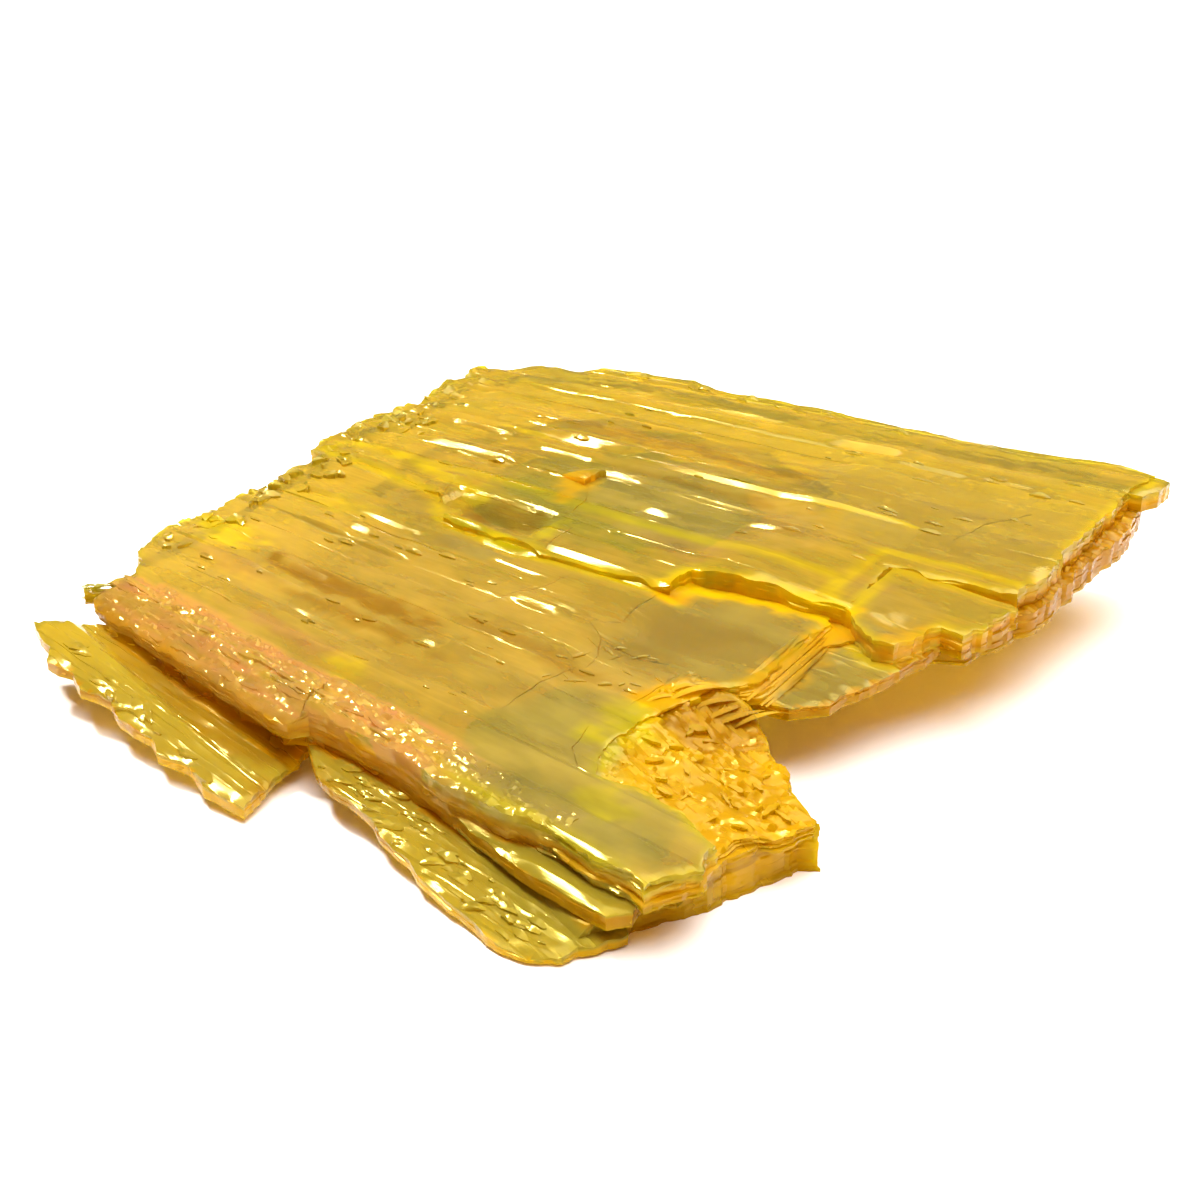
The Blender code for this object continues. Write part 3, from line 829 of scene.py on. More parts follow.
LEAVES = (
    Leaf(
        "middle",
        (
            (-19.6, -12.4), (-15.5, -13.9), (-10.0, -14.9), (-5.0, -15.6), (-3.4, -15.0), (0.0, -14.6),
            (4.0, -15.2), (8.0, -16.0), (13.0, -16.8), (14.3, -15.4), (14.2, -13.6), (11.0, -11.8),
            (8.6, -9.5), (8.4, -6.0), (9.6, -2.6), (10.3, 0.2), (12.4, 2.8), (13.6, 4.6),
            (15.2, 6.4), (16.2, 9.0), (16.6, 13.0), (16.7, 18.0), (16.5, 22.5), (15.5, 24.2),
            (8.0, 23.4), (0.0, 23.0), (-9.0, 23.0), (-15.0, 22.5), (-20.0, 20.8), (-22.8, 18.4),
            (-22.4, 13.6), (-22.8, 8.0), (-21.5, 2.0), (-20.8, -4.0), (-20.6, -8.5),
        ),
        below_top(0.95), below_top(2.45), ragged=0.2, lean=-0.25, edge=Edge.WORN,
    ),
    Leaf(
        "near",
        (
            (-20.4, -13.2), (-18.6, -12.3), (-15.1, -12.5), (-10.5, -13.6), (-6.3, -14.3), (-3.8, -14.2),
            (-0.2, -14.4), (2.4, -15.0), (4.9, -16.0), (7.5, -16.5), (10.5, -16.9), (14.7, -17.8),
            (15.6, -16.3), (16.0, -15.8), (15.6, -14.3), (14.3, -13.8), (13.4, -13.2), (11.1, -12.8),
            (9.4, -12.9), (8.8, -11.8), (8.5, -9.0), (9.1, -6.4), (9.4, -4.9), (10.4, -3.6),
            (10.4, -0.8), (10.4, 1.3), (10.0, 3.6), (9.0, 5.8), (0.0, 5.6), (-10.0, 6.2),
            (-16.0, 6.0), (-21.5, 6.2), (-22.3, 2.2), (-21.3, -0.5), (-22.0, -1.7), (-21.7, -3.7),
            (-21.8, -7.2), (-21.0, -9.4), (-19.1, -11.2), (-19.4, -12.2),
        ),
        near_top, below_top(1.25), ragged=0.18, edge=Edge.FIBROUS, relief=Relief.RIBBED,
        overhang=notch_overhang,
    ),
    Leaf(
        "far",
        (
            (-23.2, 4.6), (-19.0, 4.3), (-14.4, 3.6), (-12.6, 3.2), (-10.6, 1.1), (-3.9, 0.5),
            (-0.4, 0.6), (3.4, 0.8), (3.4, 2.5), (6.4, 3.1), (11.1, 3.4), (10.9, 5.5),
            (10.6, 8.0), (13.4, 8.3), (16.5, 8.8), (16.9, 12.0), (16.7, 15.2), (16.6, 18.8),
            (16.7, 21.8), (17.0, 23.5), (17.1, 24.7), (15.1, 25.0), (10.5, 24.4), (4.7, 23.8),
            (-1.5, 23.9), (-7.4, 23.5), (-10.5, 24.1), (-14.7, 23.4), (-16.3, 23.2), (-17.5, 22.1),
            (-20.2, 21.9), (-21.5, 20.3), (-24.0, 19.4), (-23.2, 17.6), (-23.8, 16.4), (-22.5, 12.9),
            (-23.7, 9.5),
        ),
        far_top, below_top(1.15), ragged=0.16, relief=Relief.RIBBED,
    ),
    Leaf(
        "step",
        (
            (9.4, 4.0), (11.0, 3.2), (11.6, 2.4), (13.0, 1.5), (14.1, 1.7), (14.5, 2.8),
            (14.9, 4.4), (16.0, 4.2), (16.6, 5.6), (16.9, 8.0), (16.5, 9.6), (13.0, 9.8),
            (9.6, 9.4),
        ),
        step_top, below_top(1.37), ragged=0.12, relief=Relief.RIBBED,
    ),
    Leaf(
        "flake",
        ((-8.7, 8.2), (-6.7, 7.9), (-6.5, 9.6), (-7.2, 9.9)),
        flake_top, below_top(0.4), ragged=0.0, edge=Edge.CLEAN, relief=Relief.RIBBED,
    ),
    Leaf(
        "wing",
        (
            (13.0, 3.6), (14.5, 4.9), (15.7, 5.4), (16.1, 7.0), (17.0, 9.5), (17.2, 11.8),
            (17.2, 15.3), (17.5, 18.5), (17.1, 22.4), (16.6, 24.4), (12.0, 23.6), (11.5, 12.0),
        ),
        below_top(1.0), below_top(2.3), ragged=0.15, edge=Edge.CLEAN, relief=Relief.CRUMBLED,
    ),
    Leaf(
        "wing_tab",
        ((15.4, 22.2), (17.2, 22.2), (17.8, 23.2), (17.8, 24.6), (17.2, 24.9), (15.4, 24.5)),
        below_top(0.16), below_top(1.15), ragged=0.06, edge=Edge.CLEAN, relief=Relief.RIBBED,
    ),
    Leaf(
        "ledge",
        (
            (9.0, -3.3), (10.8, -3.7), (12.1, -3.6), (13.3, -2.3), (13.7, -0.8), (14.3, 0.9),
            (14.8, 3.2), (14.9, 4.8), (14.6, 6.4), (11.0, 6.6), (9.0, 4.0),
        ),
        below_top(1.08), below_top(1.75), ragged=0.16, edge=Edge.CLEAN, relief=Relief.SILKY,
    ),
    Leaf(
        "fold",
        (
            (-19.8, -13.1), (-17.9, -13.7), (-15.2, -14.2), (-11.9, -14.8), (-8.8, -15.4), (-5.9, -15.9),
            (-3.9, -16.1), (-3.3, -15.5), (-1.0, -15.6), (2.6, -16.1), (4.7, -16.6), (8.0, -16.9),
            (10.6, -16.6), (10.6, -15.6), (2.4, -13.9), (-3.8, -13.0), (-6.3, -12.9), (-10.5, -12.2),
            (-15.1, -11.3), (-18.4, -11.3),
        ),
        fold_top, below_top(1.5), ragged=0.10, edge=Edge.CLEAN, relief=Relief.WRINKLED,
    ),
    Leaf(
        "shelf",
        (
            (7.0, -10.0), (9.0, -15.0), (13.6, -16.6), (15.1, -16.0), (15.3, -14.4), (14.9, -13.2),
            (15.1, -12.0), (16.0, -11.3), (16.6, -10.6), (16.9, -9.6), (16.7, -8.9), (15.3, -8.2),
            (14.1, -6.9), (12.8, -5.8), (10.8, -4.3), (7.4, -4.0),
        ),
        shelf_top, below_top(2.1), ragged=0.2, lean=-0.1, edge=Edge.FIBROUS, relief=Relief.CRUMBLED,
    ),
    Leaf(
        "strip",
        (
            (-3.8, -15.3), (-1.6, -15.4), (1.4, -15.8), (4.7, -16.5), (8.2, -17.5), (11.2, -18.1),
            (13.6, -18.4), (14.3, -17.7), (14.0, -16.6), (12.0, -15.4), (6.0, -14.0), (-3.4, -13.4),
        ),
        below_top(1.22), below_top(1.95), ragged=0.10, edge=Edge.CLEAN, relief=Relief.SILKY,
    ),
    Leaf(
        "bottom",
        (
            (-3.6, -15.4), (-1.8, -16.8), (-0.3, -17.3), (1.2, -17.5), (4.1, -18.6), (6.6, -19.5),
            (9.0, -20.1), (10.7, -20.5), (11.7, -20.4), (12.8, -19.8), (13.5, -18.5), (13.9, -17.4),
            (12.0, -15.6), (6.0, -14.2), (0.0, -13.4), (-3.0, -13.6),
        ),
        bottom_leaf_top, bottom_leaf_under, ragged=0.12, edge=Edge.CLEAN, relief=Relief.SILKY,
    ),
    Leaf(
        "left",
        (
            (-21.4, -15.2), (-20.2, -15.9), (-19.0, -16.2), (-18.2, -17.0), (-16.6, -16.9), (-15.2, -17.6),
            (-13.4, -17.4), (-12.0, -18.1), (-9.9, -18.2), (-8.8, -18.9), (-7.0, -18.7), (-5.6, -19.3),
            (-3.2, -19.3), (-3.4, -18.2), (-3.9, -16.4), (-4.2, -14.6), (-6.0, -12.6), (-14.0, -12.0),
            (-18.6, -12.4), (-19.6, -13.4), (-20.5, -14.4),
        ),
        left_leaf_top, left_leaf_under, ragged=0.14, edge=Edge.CLEAN, relief=Relief.SILKY,
    ),
    Leaf(
        "block",
        (
            (3.0, -14.6), (7.0, -17.4), (10.4, -19.7), (12.2, -19.7), (12.9, -18.6), (13.7, -16.3),
            (14.9, -14.1), (15.2, -12.7), (16.0, -10.4), (16.8, -9.1), (15.0, -8.0), (12.0, -6.4),
            (7.0, -5.6), (3.0, -7.0), (1.6, -11.0),
        ),
        block_top, zero, ragged=0.24, lean=0.05, edge=Edge.SPLINTERED,
    ),
    Leaf(
        "underleaf",
        (
            (-17.5, 3.5), (-12.0, 0.6), (-4.0, 1.0), (3.6, 4.2), (5.2, 9.0), (4.0, 15.5),
            (-2.0, 18.8), (-12.5, 18.4), (-17.0, 13.0), (-18.6, 8.0),
        ),
        below_top(2.2), below_top(4.0), ragged=0.25, lean=-0.4, edge=Edge.WORN,
    ),
    Leaf(
        "foot",
        (
            (-14.0, 6.4), (-9.5, 4.2), (-4.0, 4.6), (1.2, 7.6), (2.2, 12.0), (-1.5, 16.2),
            (-9.0, 16.0), (-13.6, 12.0),
        ),
        below_top(3.8), zero, ragged=0.25, lean=-0.3, edge=Edge.WORN,
    ),
)


# ---------------------------------------------------------------------------------------------
# Stains, painted light and shade, and cracks


class Stain(Enum):
    """The colours that stand out from the bands: the crystal's stains, and painted light and shade."""

    # painted light: a lighter tone laid where the plate shows shade
    FAIR = "fair"
    # partly the crystal's bright yellow, partly painted highlight and painted glow
    LEMON = "lemon"
    HONEY = "honey"
    SMOKE = "smoke"
    ROSE = "rose"
    AMBER = "amber"
    # painted shade: dark amber laid in hollows, under the fold and down broken walls
    DEEP = "deep"


@dataclass(frozen=True)
class Patch:
    """A lens-shaped patch of colour or painted highlight: its middle, half length, half width, strength and
    turn from the row.
    """

    x: float
    row: float
    half_length: float
    half_width: float
    strength: float
    turn: float = 0.0

    def cover(self, x: Array, row: Array) -> Array:
        """How strongly it shows at each point.

        Args:
            x: places along x in the plan.
            row: the rows through the same points.

        Returns:
            The strength, from 0 to 1.
        """
        fray = 0.5 * PATCH_FRAY.swell(x, row)
        along, across = x - self.x, row - self.row
        along, across = (
            along * math.cos(self.turn) + across * math.sin(self.turn),
            across * math.cos(self.turn) - along * math.sin(self.turn),
        )
        away = np.hypot(along / self.half_length, across / self.half_width)
        return self.strength * ramp(1.15 - away - fray, 0.0, 0.45)


PATCHES = {
    # Partly the yellow of thin crumbly crystal at the left end, partly painted highlight: bright yellow
    # streaks laid along the ridges beside their glints.
    Stain.LEMON: (
        Patch(-13.9, 4.7, 3.9, 0.40, 1.0, -0.22), Patch(-7.8, 0.65, 3.6, 0.40, 1.0, -0.10),
        Patch(-0.7, 0.8, 4.0, 0.30, 0.9), Patch(-10.9, 3.0, 0.7, 1.6, 0.7), Patch(-5.1, 2.2, 0.6, 1.6, 0.7),
        Patch(-18.6, -7.4, 2.3, 1.3, 1.0), Patch(-4.2, -12.6, 1.3, 0.8, 0.65),
        Patch(7.8, -8.6, 1.3, 1.6, 0.7), Patch(10.6, -13.2, 1.2, 0.8, 0.6),
        Patch(-12.8, 12.2, 2.4, 0.3, 0.5), Patch(3.0, 12.2, 7.0, 0.25, 0.6),
        Patch(-17.0, -1.2, 3.0, 0.8, 0.4),
    ),
    Stain.HONEY: (
        Patch(-9.0, -7.9, 6.0, 0.7, 0.8), Patch(-7.0, -9.6, 4.5, 0.4, 0.6), Patch(-8.6, 2.7, 2.8, 1.3, 0.7),
        Patch(-8.0, 15.0, 6.0, 0.9, 0.5), Patch(2.5, 14.6, 8.0, 0.8, 0.5), Patch(-2.0, 10.8, 5.0, 0.5, 0.4),
        Patch(1.0, -6.6, 5.0, 0.5, 0.4),
    ),
    Stain.SMOKE: (
        Patch(-7.5, -1.0, 2.6, 0.8, 0.9), Patch(12.5, 15.0, 5.0, 2.4, 0.6),
        Patch(11.0, 11.2, 4.5, 1.3, 0.7), Patch(10.0, 21.0, 6.0, 1.5, 0.5),
        Patch(9.5, -14.6, 4.5, 1.4, 0.5), Patch(3.5, -9.6, 4.0, 1.5, 0.4), Patch(-13.0, 1.6, 3.0, 1.2, 0.6),
        Patch(12.2, -1.6, 1.8, 2.6, 0.9), Patch(12.4, 5.4, 2.6, 1.6, 0.5),
    ),
    Stain.ROSE: (
        Patch(-8.6, -12.4, 3.8, 0.6, 0.9), Patch(1.2, 4.6, 2.2, 1.2, 0.6),
        Patch(-15.5, -9.5, 3.5, 0.6, 0.5), Patch(10.5, 6.3, 2.0, 0.6, 0.5),
    ),
}


@dataclass(frozen=True)
class Zone:
    """An area of the plan that is stained, or laid with painted light or shade: its colour, outline, strength
    and range of depths, mm.
    """

    stain: Stain
    outline: Outline
    strength: float = 1.0
    depths: tuple[float, float] = (-1.0, 1.2)
    fringe: float = 0.35

    def cover(self, x: Array, y: Array, depth: Array) -> Array:
        """How strongly it shows at each point.

        Args:
            x: places along x in the plan.
            y: places along y in the plan.
            depth: how far the points lie below the mean top.

        Returns:
            The strength, from 0 to 1.
        """
        inside = np.where(within(x, y, self.outline), 1.0, -1.0) * edge_distance(x, y, self.outline)
        fray = self.fringe * ZONE_FRAY.swell(x, y)
        seen = (depth > self.depths[0]) & (depth < self.depths[1])
        return self.strength * ramp(inside + fray, -self.fringe / 2, self.fringe) * seen


ZONES = (
    # painted glow: bright yellow laid on the middle step's riser, as if light shone through it
    Zone(
        Stain.LEMON, ((2.2, 0.6), (4.2, 1.9), (6.6, 2.6), (11.3, 2.9), (11.2, 3.9), (6.4, 3.6), (2.6, 3.2)),
        strength=0.75, depths=(-0.6, 0.9), fringe=0.3,
    ),
    Zone(
        Stain.AMBER,
        (
            (2.3, -0.1), (3.9, 0.1), (4.1, 1.8), (6.6, 2.5), (11.2, 2.8), (11.4, 3.8), (6.4, 3.2),
            (3.2, 2.8), (2.4, 1.0),
        ),
    ),
    Zone(
        Stain.AMBER,
        ((9.6, -4.8), (10.6, -4.6), (11.5, -2.6), (11.4, 1.4), (11.2, 3.6), (10.0, 3.6), (10.0, -0.5)),
        strength=0.8,
    ),
    Zone(
        Stain.AMBER,
        (
            (6.8, -7.6), (8.2, -8.2), (9.0, -7.0), (12.0, -5.8), (13.4, -4.4), (11.0, -3.2), (9.2, -4.6),
            (7.0, -5.8),
        ),
        depths=(-1.0, 3.0),
    ),
    # painted shade: dark amber in the hollow under the near leaf's broken edge, above the shelf
    Zone(
        Stain.DEEP, ((7.6, -7.0), (9.2, -4.3), (11.6, -4.4), (12.4, -6.2), (11.2, -8.4), (8.6, -8.4)),
        strength=0.9, depths=(0.5, 3.0),
    ),
    # painted shade: dark amber under the fold
    Zone(
        Stain.DEEP,
        (
            (-19.6, -13.2), (-16.4, -14.8), (-12.2, -15.8), (-7.9, -16.9), (-5.4, -17.0), (-4.0, -16.0),
            (-6.3, -12.0), (-15.9, -11.5),
        ),
        strength=0.5, depths=(1.15, 3.2),
    ),
    # painted shade: dark amber in the gap at the left end of the bottom leaf
    Zone(
        Stain.DEEP, ((-4.8, -17.6), (-2.6, -19.8), (0.0, -19.6), (0.0, -16.6), (-3.4, -16.4)),
        strength=0.5, depths=(1.15, 3.0),
    ),
    Zone(
        Stain.AMBER,
        (
            (6.6, -7.6), (8.4, -10.6), (10.6, -13.6), (15.4, -13.6), (17.2, -10.0), (16.8, -8.6),
            (12.8, -5.4), (9.6, -4.0), (7.0, -5.8),
        ),
        strength=0.85, depths=(0.28, 2.2),
    ),
    # painted light: lighter over the hidden foot, where the plate shows its shade
    Zone(
        Stain.FAIR, ((-8.0, 9.5), (-2.0, 4.5), (4.5, 5.6), (8.0, 9.0), (4.0, 12.0), (-4.0, 13.0)),
        strength=0.75, depths=(-1.0, 0.8), fringe=1.2,
    ),
    Zone(
        Stain.SMOKE, ((3.0, 13.0), (9.0, 9.6), (16.0, 9.6), (16.6, 19.5), (8.0, 20.0), (2.0, 17.0)),
        strength=0.75, depths=(-1.0, 0.8), fringe=1.6,
    ),
    # painted light: lighter on the near leaf's left part, where it looks dark in shade
    Zone(
        Stain.FAIR, ((-14.5, -5.0), (-8.0, -6.0), (-3.5, -9.5), (-6.0, -11.5), (-12.5, -9.0)),
        strength=0.6, depths=(-1.0, 0.8), fringe=1.2,
    ),
    Zone(
        Stain.AMBER, ((13.0, 1.8), (14.6, 1.6), (15.2, 3.2), (14.4, 4.2), (13.4, 3.6)), strength=0.7,
    ),
    Zone(
        Stain.AMBER, ((-6.9, 5.4), (-6.1, 5.6), (-6.4, 8.9), (-8.0, 9.4), (-8.6, 8.4)), strength=0.8,
    ),
)


# ---------------------------------------------------------------------------------------------
# Loose flakes


FLAKE_GRID = (6, 3)              # points along and across a flake


@dataclass(frozen=True)
class Scatter:
    """Small curled ridges where a surface flaked.

    Attributes:
        name: where they are.
        area: counter-clockwise corners of the area in the plan.
        surface: what they lie on.
        count: how many there are.
        length: shortest and longest, mm.
        width: widths as shares of the length.
        lift: how far their ends and sides may stand up, as shares of the length.
        turn: how far they may turn away from the striations, radians.
        heading: the direction they mostly lie in, radians from the striations.
        root: how deep they reach into what they lie on, mm.
    """

    name: str
    area: Outline
    surface: Surface
    count: int
    length: tuple[float, float] = (0.7, 1.8)
    width: tuple[float, float] = (0.2, 0.4)
    lift: float = 0.22
    turn: float = 0.5
    heading: float = 0.0
    root: float = 0.3

    def flake(self, rng: np.random.Generator, x: float, y: float) -> Body:
        """One closed flake at a point of the plan, rooted in the surface.

        Args:
            rng: this area's random numbers.
            x: its middle along x.
            y: its middle along y.

        Returns:
            The flake.
        """
        length = rng.uniform(*self.length) / 2
        width = length * rng.uniform(*self.width)
        turn = rng.uniform(-self.turn, self.turn) + self.heading
        long, wide = FLAKE_GRID
        along, across = np.meshgrid(np.linspace(-1, 1, long), np.linspace(-1, 1, wide), indexing="ij")
        bend = rng.uniform(-0.5, 0.5)
        half = width * np.sqrt(1.08 - along**2) * rng.uniform(0.7, 1.3, (long, 1))
        u = length * along
        v = half * across + bend * width * along**2
        px = x + u * math.cos(turn) - v * math.sin(turn)
        py = y + u * math.sin(turn) + v * math.cos(turn)
        curl = rng.uniform(0.0, self.lift, 4) * 2 * length
        rise = (0.4 * curl[0] + curl[1] * (0.5 + 0.5 * across)) * (1 - along**2)
        rise = rise + 0.5 * curl[2] * np.abs(across) * (1 - np.abs(along))
        base = self.surface(px, py)
        top = np.stack([px, py, base + rise - 0.02], 2)
        under = np.stack([px, py, base - self.root], 2)
        last = wide - 1
        rim = [(i, 0) for i in range(long)] + [(long - 1, j) for j in range(1, last)]
        rim += [(i, last) for i in range(long - 1, -1, -1)] + [(0, j) for j in range(last - 1, 0, -1)]
        below = long * wide
        faces = []
        for i in range(long - 1):
            for j in range(last):
                corners = [(i, j), (i + 1, j), (i + 1, j + 1), (i, j + 1)]
                faces.append([a * wide + b for a, b in corners])
                faces.append([below + a * wide + b for a, b in corners[::-1]])
        for (a, b), (c, d) in sides(rim):
            here, after = a * wide + b, c * wide + d
            faces.append([here, below + here, below + after, after])
        return object_of("flake_piece", np.vstack([top.reshape(-1, 3), under.reshape(-1, 3)]), faces)

    def flakes(self) -> list[Body]:
        """All the flakes of this area."""
        rng = np.random.default_rng([*map(ord, self.name)])
        corners = np.array(self.area)
        made = []
        while len(made) < self.count:
            x, y = rng.uniform(corners.min(0), corners.max(0))
            if within(np.array([x]), np.array([y]), self.area)[0]:
                made.append(self.flake(rng, x, y))
        return made


def sideways(line: Array, half: Array) -> Array:
    """How far each point of a line in the plan moves to reach its left side, half its width away.

    Args:
        line: the points, one in each row.
        half: half of the width at each point.

    Returns:
        The offset of each point.
    """
    run = np.gradient(line, axis=0)
    run /= np.linalg.norm(run, axis=1, keepdims=True)
    return np.stack([-run[:, 1], run[:, 0]], 1) * half[:, None]


@dataclass(frozen=True)
class Blade:
    """A thin splinter along a smooth curve through three points.

    Attributes:
        start: its rooted end: x and y in the plan and the depth below the mean top.
        bend: the point that pulls its middle aside.
        end: its free end.
        width: across its middle, mm.
    """

    start: tuple[float, float, float]
    bend: tuple[float, float, float]
    end: tuple[float, float, float]
    width: float = 0.28

    def solid(self, rings: int = 9) -> Body:
        """The blade as a closed solid with a lens-shaped section.

        Args:
            rings: how many sections it has.

        Returns:
            The blade.
        """
        share = np.linspace(0, 1, rings)[:, None]
        path = (
            (1 - share) ** 2 * np.array(self.start)
            + 2 * share * (1 - share) * np.array(self.bend)
            + share**2 * np.array(self.end)
        )
        x, y = path[:, 0], path[:, 1]
        z = mean_top(x, y) - path[:, 2]
        half = self.width / 2 * (1 - (1.7 * np.abs(share[:, 0] - 0.45)) ** 2).clip(0.12, None)
        loops = []
        for at, height, off, thick in zip(path[:, :2], z, sideways(path[:, :2], half), 0.45 * half):
            low = height - 0.3 * thick
            corners = (*(at + off), low), (*at, height - thick), (*(at - off), low), (*at, height + thick)
            loops.append(np.array(corners))
        return solid_of_rings("blade_piece", loops)


STRIP_FIBRES = 9
STRIP_SEED = 5


def fibre_strip() -> tuple[Blade, ...]:
    """The long parallel fibres between the near leaf's edge and the ledge."""
    rng = random.Random(STRIP_SEED)
    made = []
    for k in range(STRIP_FIBRES):
        x, depth = 9.9 + 0.16 * k, 0.50 + 0.075 * k
        start, end = -4.4 + rng.uniform(0.0, 1.6), 2.6 - rng.uniform(0.0, 2.0)
        sway = rng.uniform(-0.12, 0.12)
        made.append(Blade((x, start, depth + 0.06), (x + sway, (start + end) / 2, depth - 0.10),
                          (x - 0.1, end, depth + 0.06), rng.uniform(0.22, 0.38)))
    return tuple(made)


BLADES = (
    Blade((8.3, -6.7, 0.42), (8.7, -5.6, 0.05), (9.5, -4.6, 0.48), 0.42),
    Blade((8.0, -6.2, 0.40), (8.2, -5.5, 0.10), (8.8, -5.1, 0.45), 0.30),
    Blade((8.9, -6.6, 0.95), (9.5, -5.6, 0.35), (10.3, -4.7, 0.80), 0.36),
    Blade((9.4, -6.4, 1.35), (10.2, -5.7, 0.60), (10.6, -4.3, 1.05), 0.40),
    Blade((9.9, -6.2, 1.45), (10.8, -5.5, 0.75), (11.3, -4.2, 1.15), 0.34),
    Blade((10.6, -5.8, 1.50), (11.3, -5.0, 0.80), (11.9, -4.0, 1.15), 0.34),
    Blade((7.6, -7.6, 0.40), (7.9, -6.8, 0.12), (8.4, -6.3, 0.44), 0.26),
    *fibre_strip(),
)


@dataclass(frozen=True)
class Crack:
    """A hairline slit along a jagged line in the plan, cut from a surface down."""

    path: Outline
    surface: Surface
    width: float = 0.05
    depth: float = 0.14
    step: float = 0.5
    stray: float = 0.07
    above: float = 0.6

    def cutter(self) -> Body:
        """The closed body that cuts it."""
        rng = random.Random(repr(self.path))
        stations = []
        for (x0, y0), (x1, y1) in zip(self.path, self.path[1:]):
            count = max(1, round(math.hypot(x1 - x0, y1 - y0) / self.step))
            for k in range(count):
                stray = rng.uniform(-self.stray, self.stray)
                stations.append((x0 + (x1 - x0) * k / count + stray, y0 + (y1 - y0) * k / count))
        line = np.array([*stations, self.path[-1]])
        half = self.width / 2 * np.sin(np.linspace(0.15, math.pi - 0.15, len(line)))
        z = self.surface(line[:, 0], line[:, 1])
        rings = []
        for at, off, height in zip(line, sideways(line, half), z):
            left, right = at + off, at - off
            high, low = height + self.above, height - self.depth
            rings.append(np.array([(*left, high), (*left, low), (*right, low), (*right, high)]))
        return solid_of_rings("crack_cutter", rings)


CRACKS = (
    Crack(((2.9, 1.0), (2.8, -0.9), (2.9, -2.5), (2.3, -3.2)), near_top),
    Crack(((1.8, -3.3), (3.1, -4.2), (3.8, -5.4), (4.0, -6.5)), near_top),
    Crack(((11.8, 12.1), (12.3, 14.4), (13.6, 16.9)), far_top, depth=0.15),
    Crack(((3.3, -11.2), (3.4, -8.9), (3.7, -6.8)), near_top),
    Crack(((3.1, -4.2), (5.4, -4.6), (6.7, -4.3)), near_top),
    Crack(((7.4, -8.2), (7.4, -6.3), (7.7, -5.0)), near_top),
    Crack(((-4.0, -13.6), (-3.8, -14.6), (-3.6, -15.6)), fold_top, width=0.12, depth=0.35),
    Crack(((-1.6, -0.2), (-2.2, -2.4), (-3.4, -4.6)), near_top),
    Crack(((-5.2, 4.4), (-5.6, 6.6), (-6.6, 8.0)), far_top, width=0.06),
    Crack(((-12.0, 1.4), (-12.3, 3.4), (-13.2, 5.2)), far_top, width=0.06),
    Crack(((-3.8, 0.7), (-4.3, 2.2), (-4.2, 3.6)), far_top, width=0.06),
    Crack(((8.6, -13.2), (7.4, -12.0), (7.0, -10.4)), near_top),
)


SCATTERS = (
    Scatter(
        "shelf",
        (
            (8.8, -11.0), (10.5, -13.0), (13.5, -13.4), (14.6, -12.0), (15.8, -10.0), (12.4, -6.6),
            (9.4, -6.0),
        ),
        shelf_top, 36, length=(0.25, 0.9), width=(0.15, 0.35), lift=0.05, turn=1.2, heading=0.5,
    ),
    Scatter(
        "fold",
        (
            (-19.0, -12.9), (-15.2, -13.9), (-11.9, -14.5), (-5.9, -15.6), (-1.0, -15.4), (1.5, -15.6),
            (1.5, -14.9), (-3.8, -14.5), (-10.5, -13.2), (-15.1, -12.2), (-18.4, -11.8),
        ),
        fold_top, 50, length=(0.5, 1.8), width=(0.08, 0.16), lift=0.06, turn=0.10, heading=-0.19,
    ),
    Scatter(
        "crumbs", ((-20.6, -8.0), (-18.8, -9.5), (-18.6, 3.0), (-18.8, 14.0), (-21.8, 13.0), (-20.9, 0.0)),
        mean_top, 60, length=(0.4, 1.1), width=(0.3, 0.6), lift=0.18, turn=1.5,
    ),
    Scatter(
        "pane", ((2.5, -9.0), (9.6, -6.5), (9.4, -4.8), (3.0, -3.5)),
        near_top, 26, length=(0.3, 1.0), width=(0.10, 0.25), lift=0.07, turn=1.3,
    ),
    Scatter(
        "left rim",
        ((-20.5, -15.2), (-13.8, -17.4), (-5.6, -19.0), (-5.6, -18.2), (-13.0, -16.6), (-19.0, -15.2)),
        left_leaf_top, 22, length=(0.5, 1.6), width=(0.2, 0.4), lift=0.12,
    ),
    Scatter(
        "bottom sheet",
        ((-2.0, -16.4), (4.1, -18.4), (11.0, -20.2), (12.6, -19.2), (6.0, -17.2), (0.0, -15.4)),
        bottom_leaf_top, 60, length=(0.3, 1.1), width=(0.15, 0.35), lift=0.12,
    ),
    Scatter(
        "near specks", ((-19.0, -9.0), (-4.0, -11.8), (2.0, -12.0), (2.0, -3.0), (-18.0, 1.0)),
        near_top, 36, length=(0.3, 1.0), width=(0.15, 0.30), lift=0.09, turn=0.12,
    ),
    Scatter(
        "far specks", ((-20.0, 6.0), (-4.0, 5.0), (15.0, 8.0), (15.0, 21.5), (-19.0, 19.5)),
        far_top, 40, length=(0.3, 1.2), width=(0.12, 0.28), lift=0.09, turn=0.10, heading=0.02,
    ),
    Scatter(
        "far rim", ((-16.0, 22.0), (-10.0, 22.6), (4.0, 22.6), (4.0, 23.4), (-10.0, 23.4), (-16.0, 22.9)),
        far_top, 16, length=(0.4, 1.2), width=(0.15, 0.35), lift=0.12,
    ),
)


# ---------------------------------------------------------------------------------------------
# Mesh making


def object_of(name: str, points: Array, faces: Sequence[Sequence[int]]) -> Body:
    """A linked mesh object with these points and faces.

    Args:
        name: the object's and the mesh's name.
        points: x, y and z of each point.
        faces: the numbers of each face's points, in order.

    Returns:
        The object.
    """
    mesh = bpy.data.meshes.new(name)
    mesh.from_pydata(points.tolist(), [], faces)
    mesh.update()
    made = bpy.data.objects.new(name, mesh)
    bpy.context.scene.collection.objects.link(made)
    return made


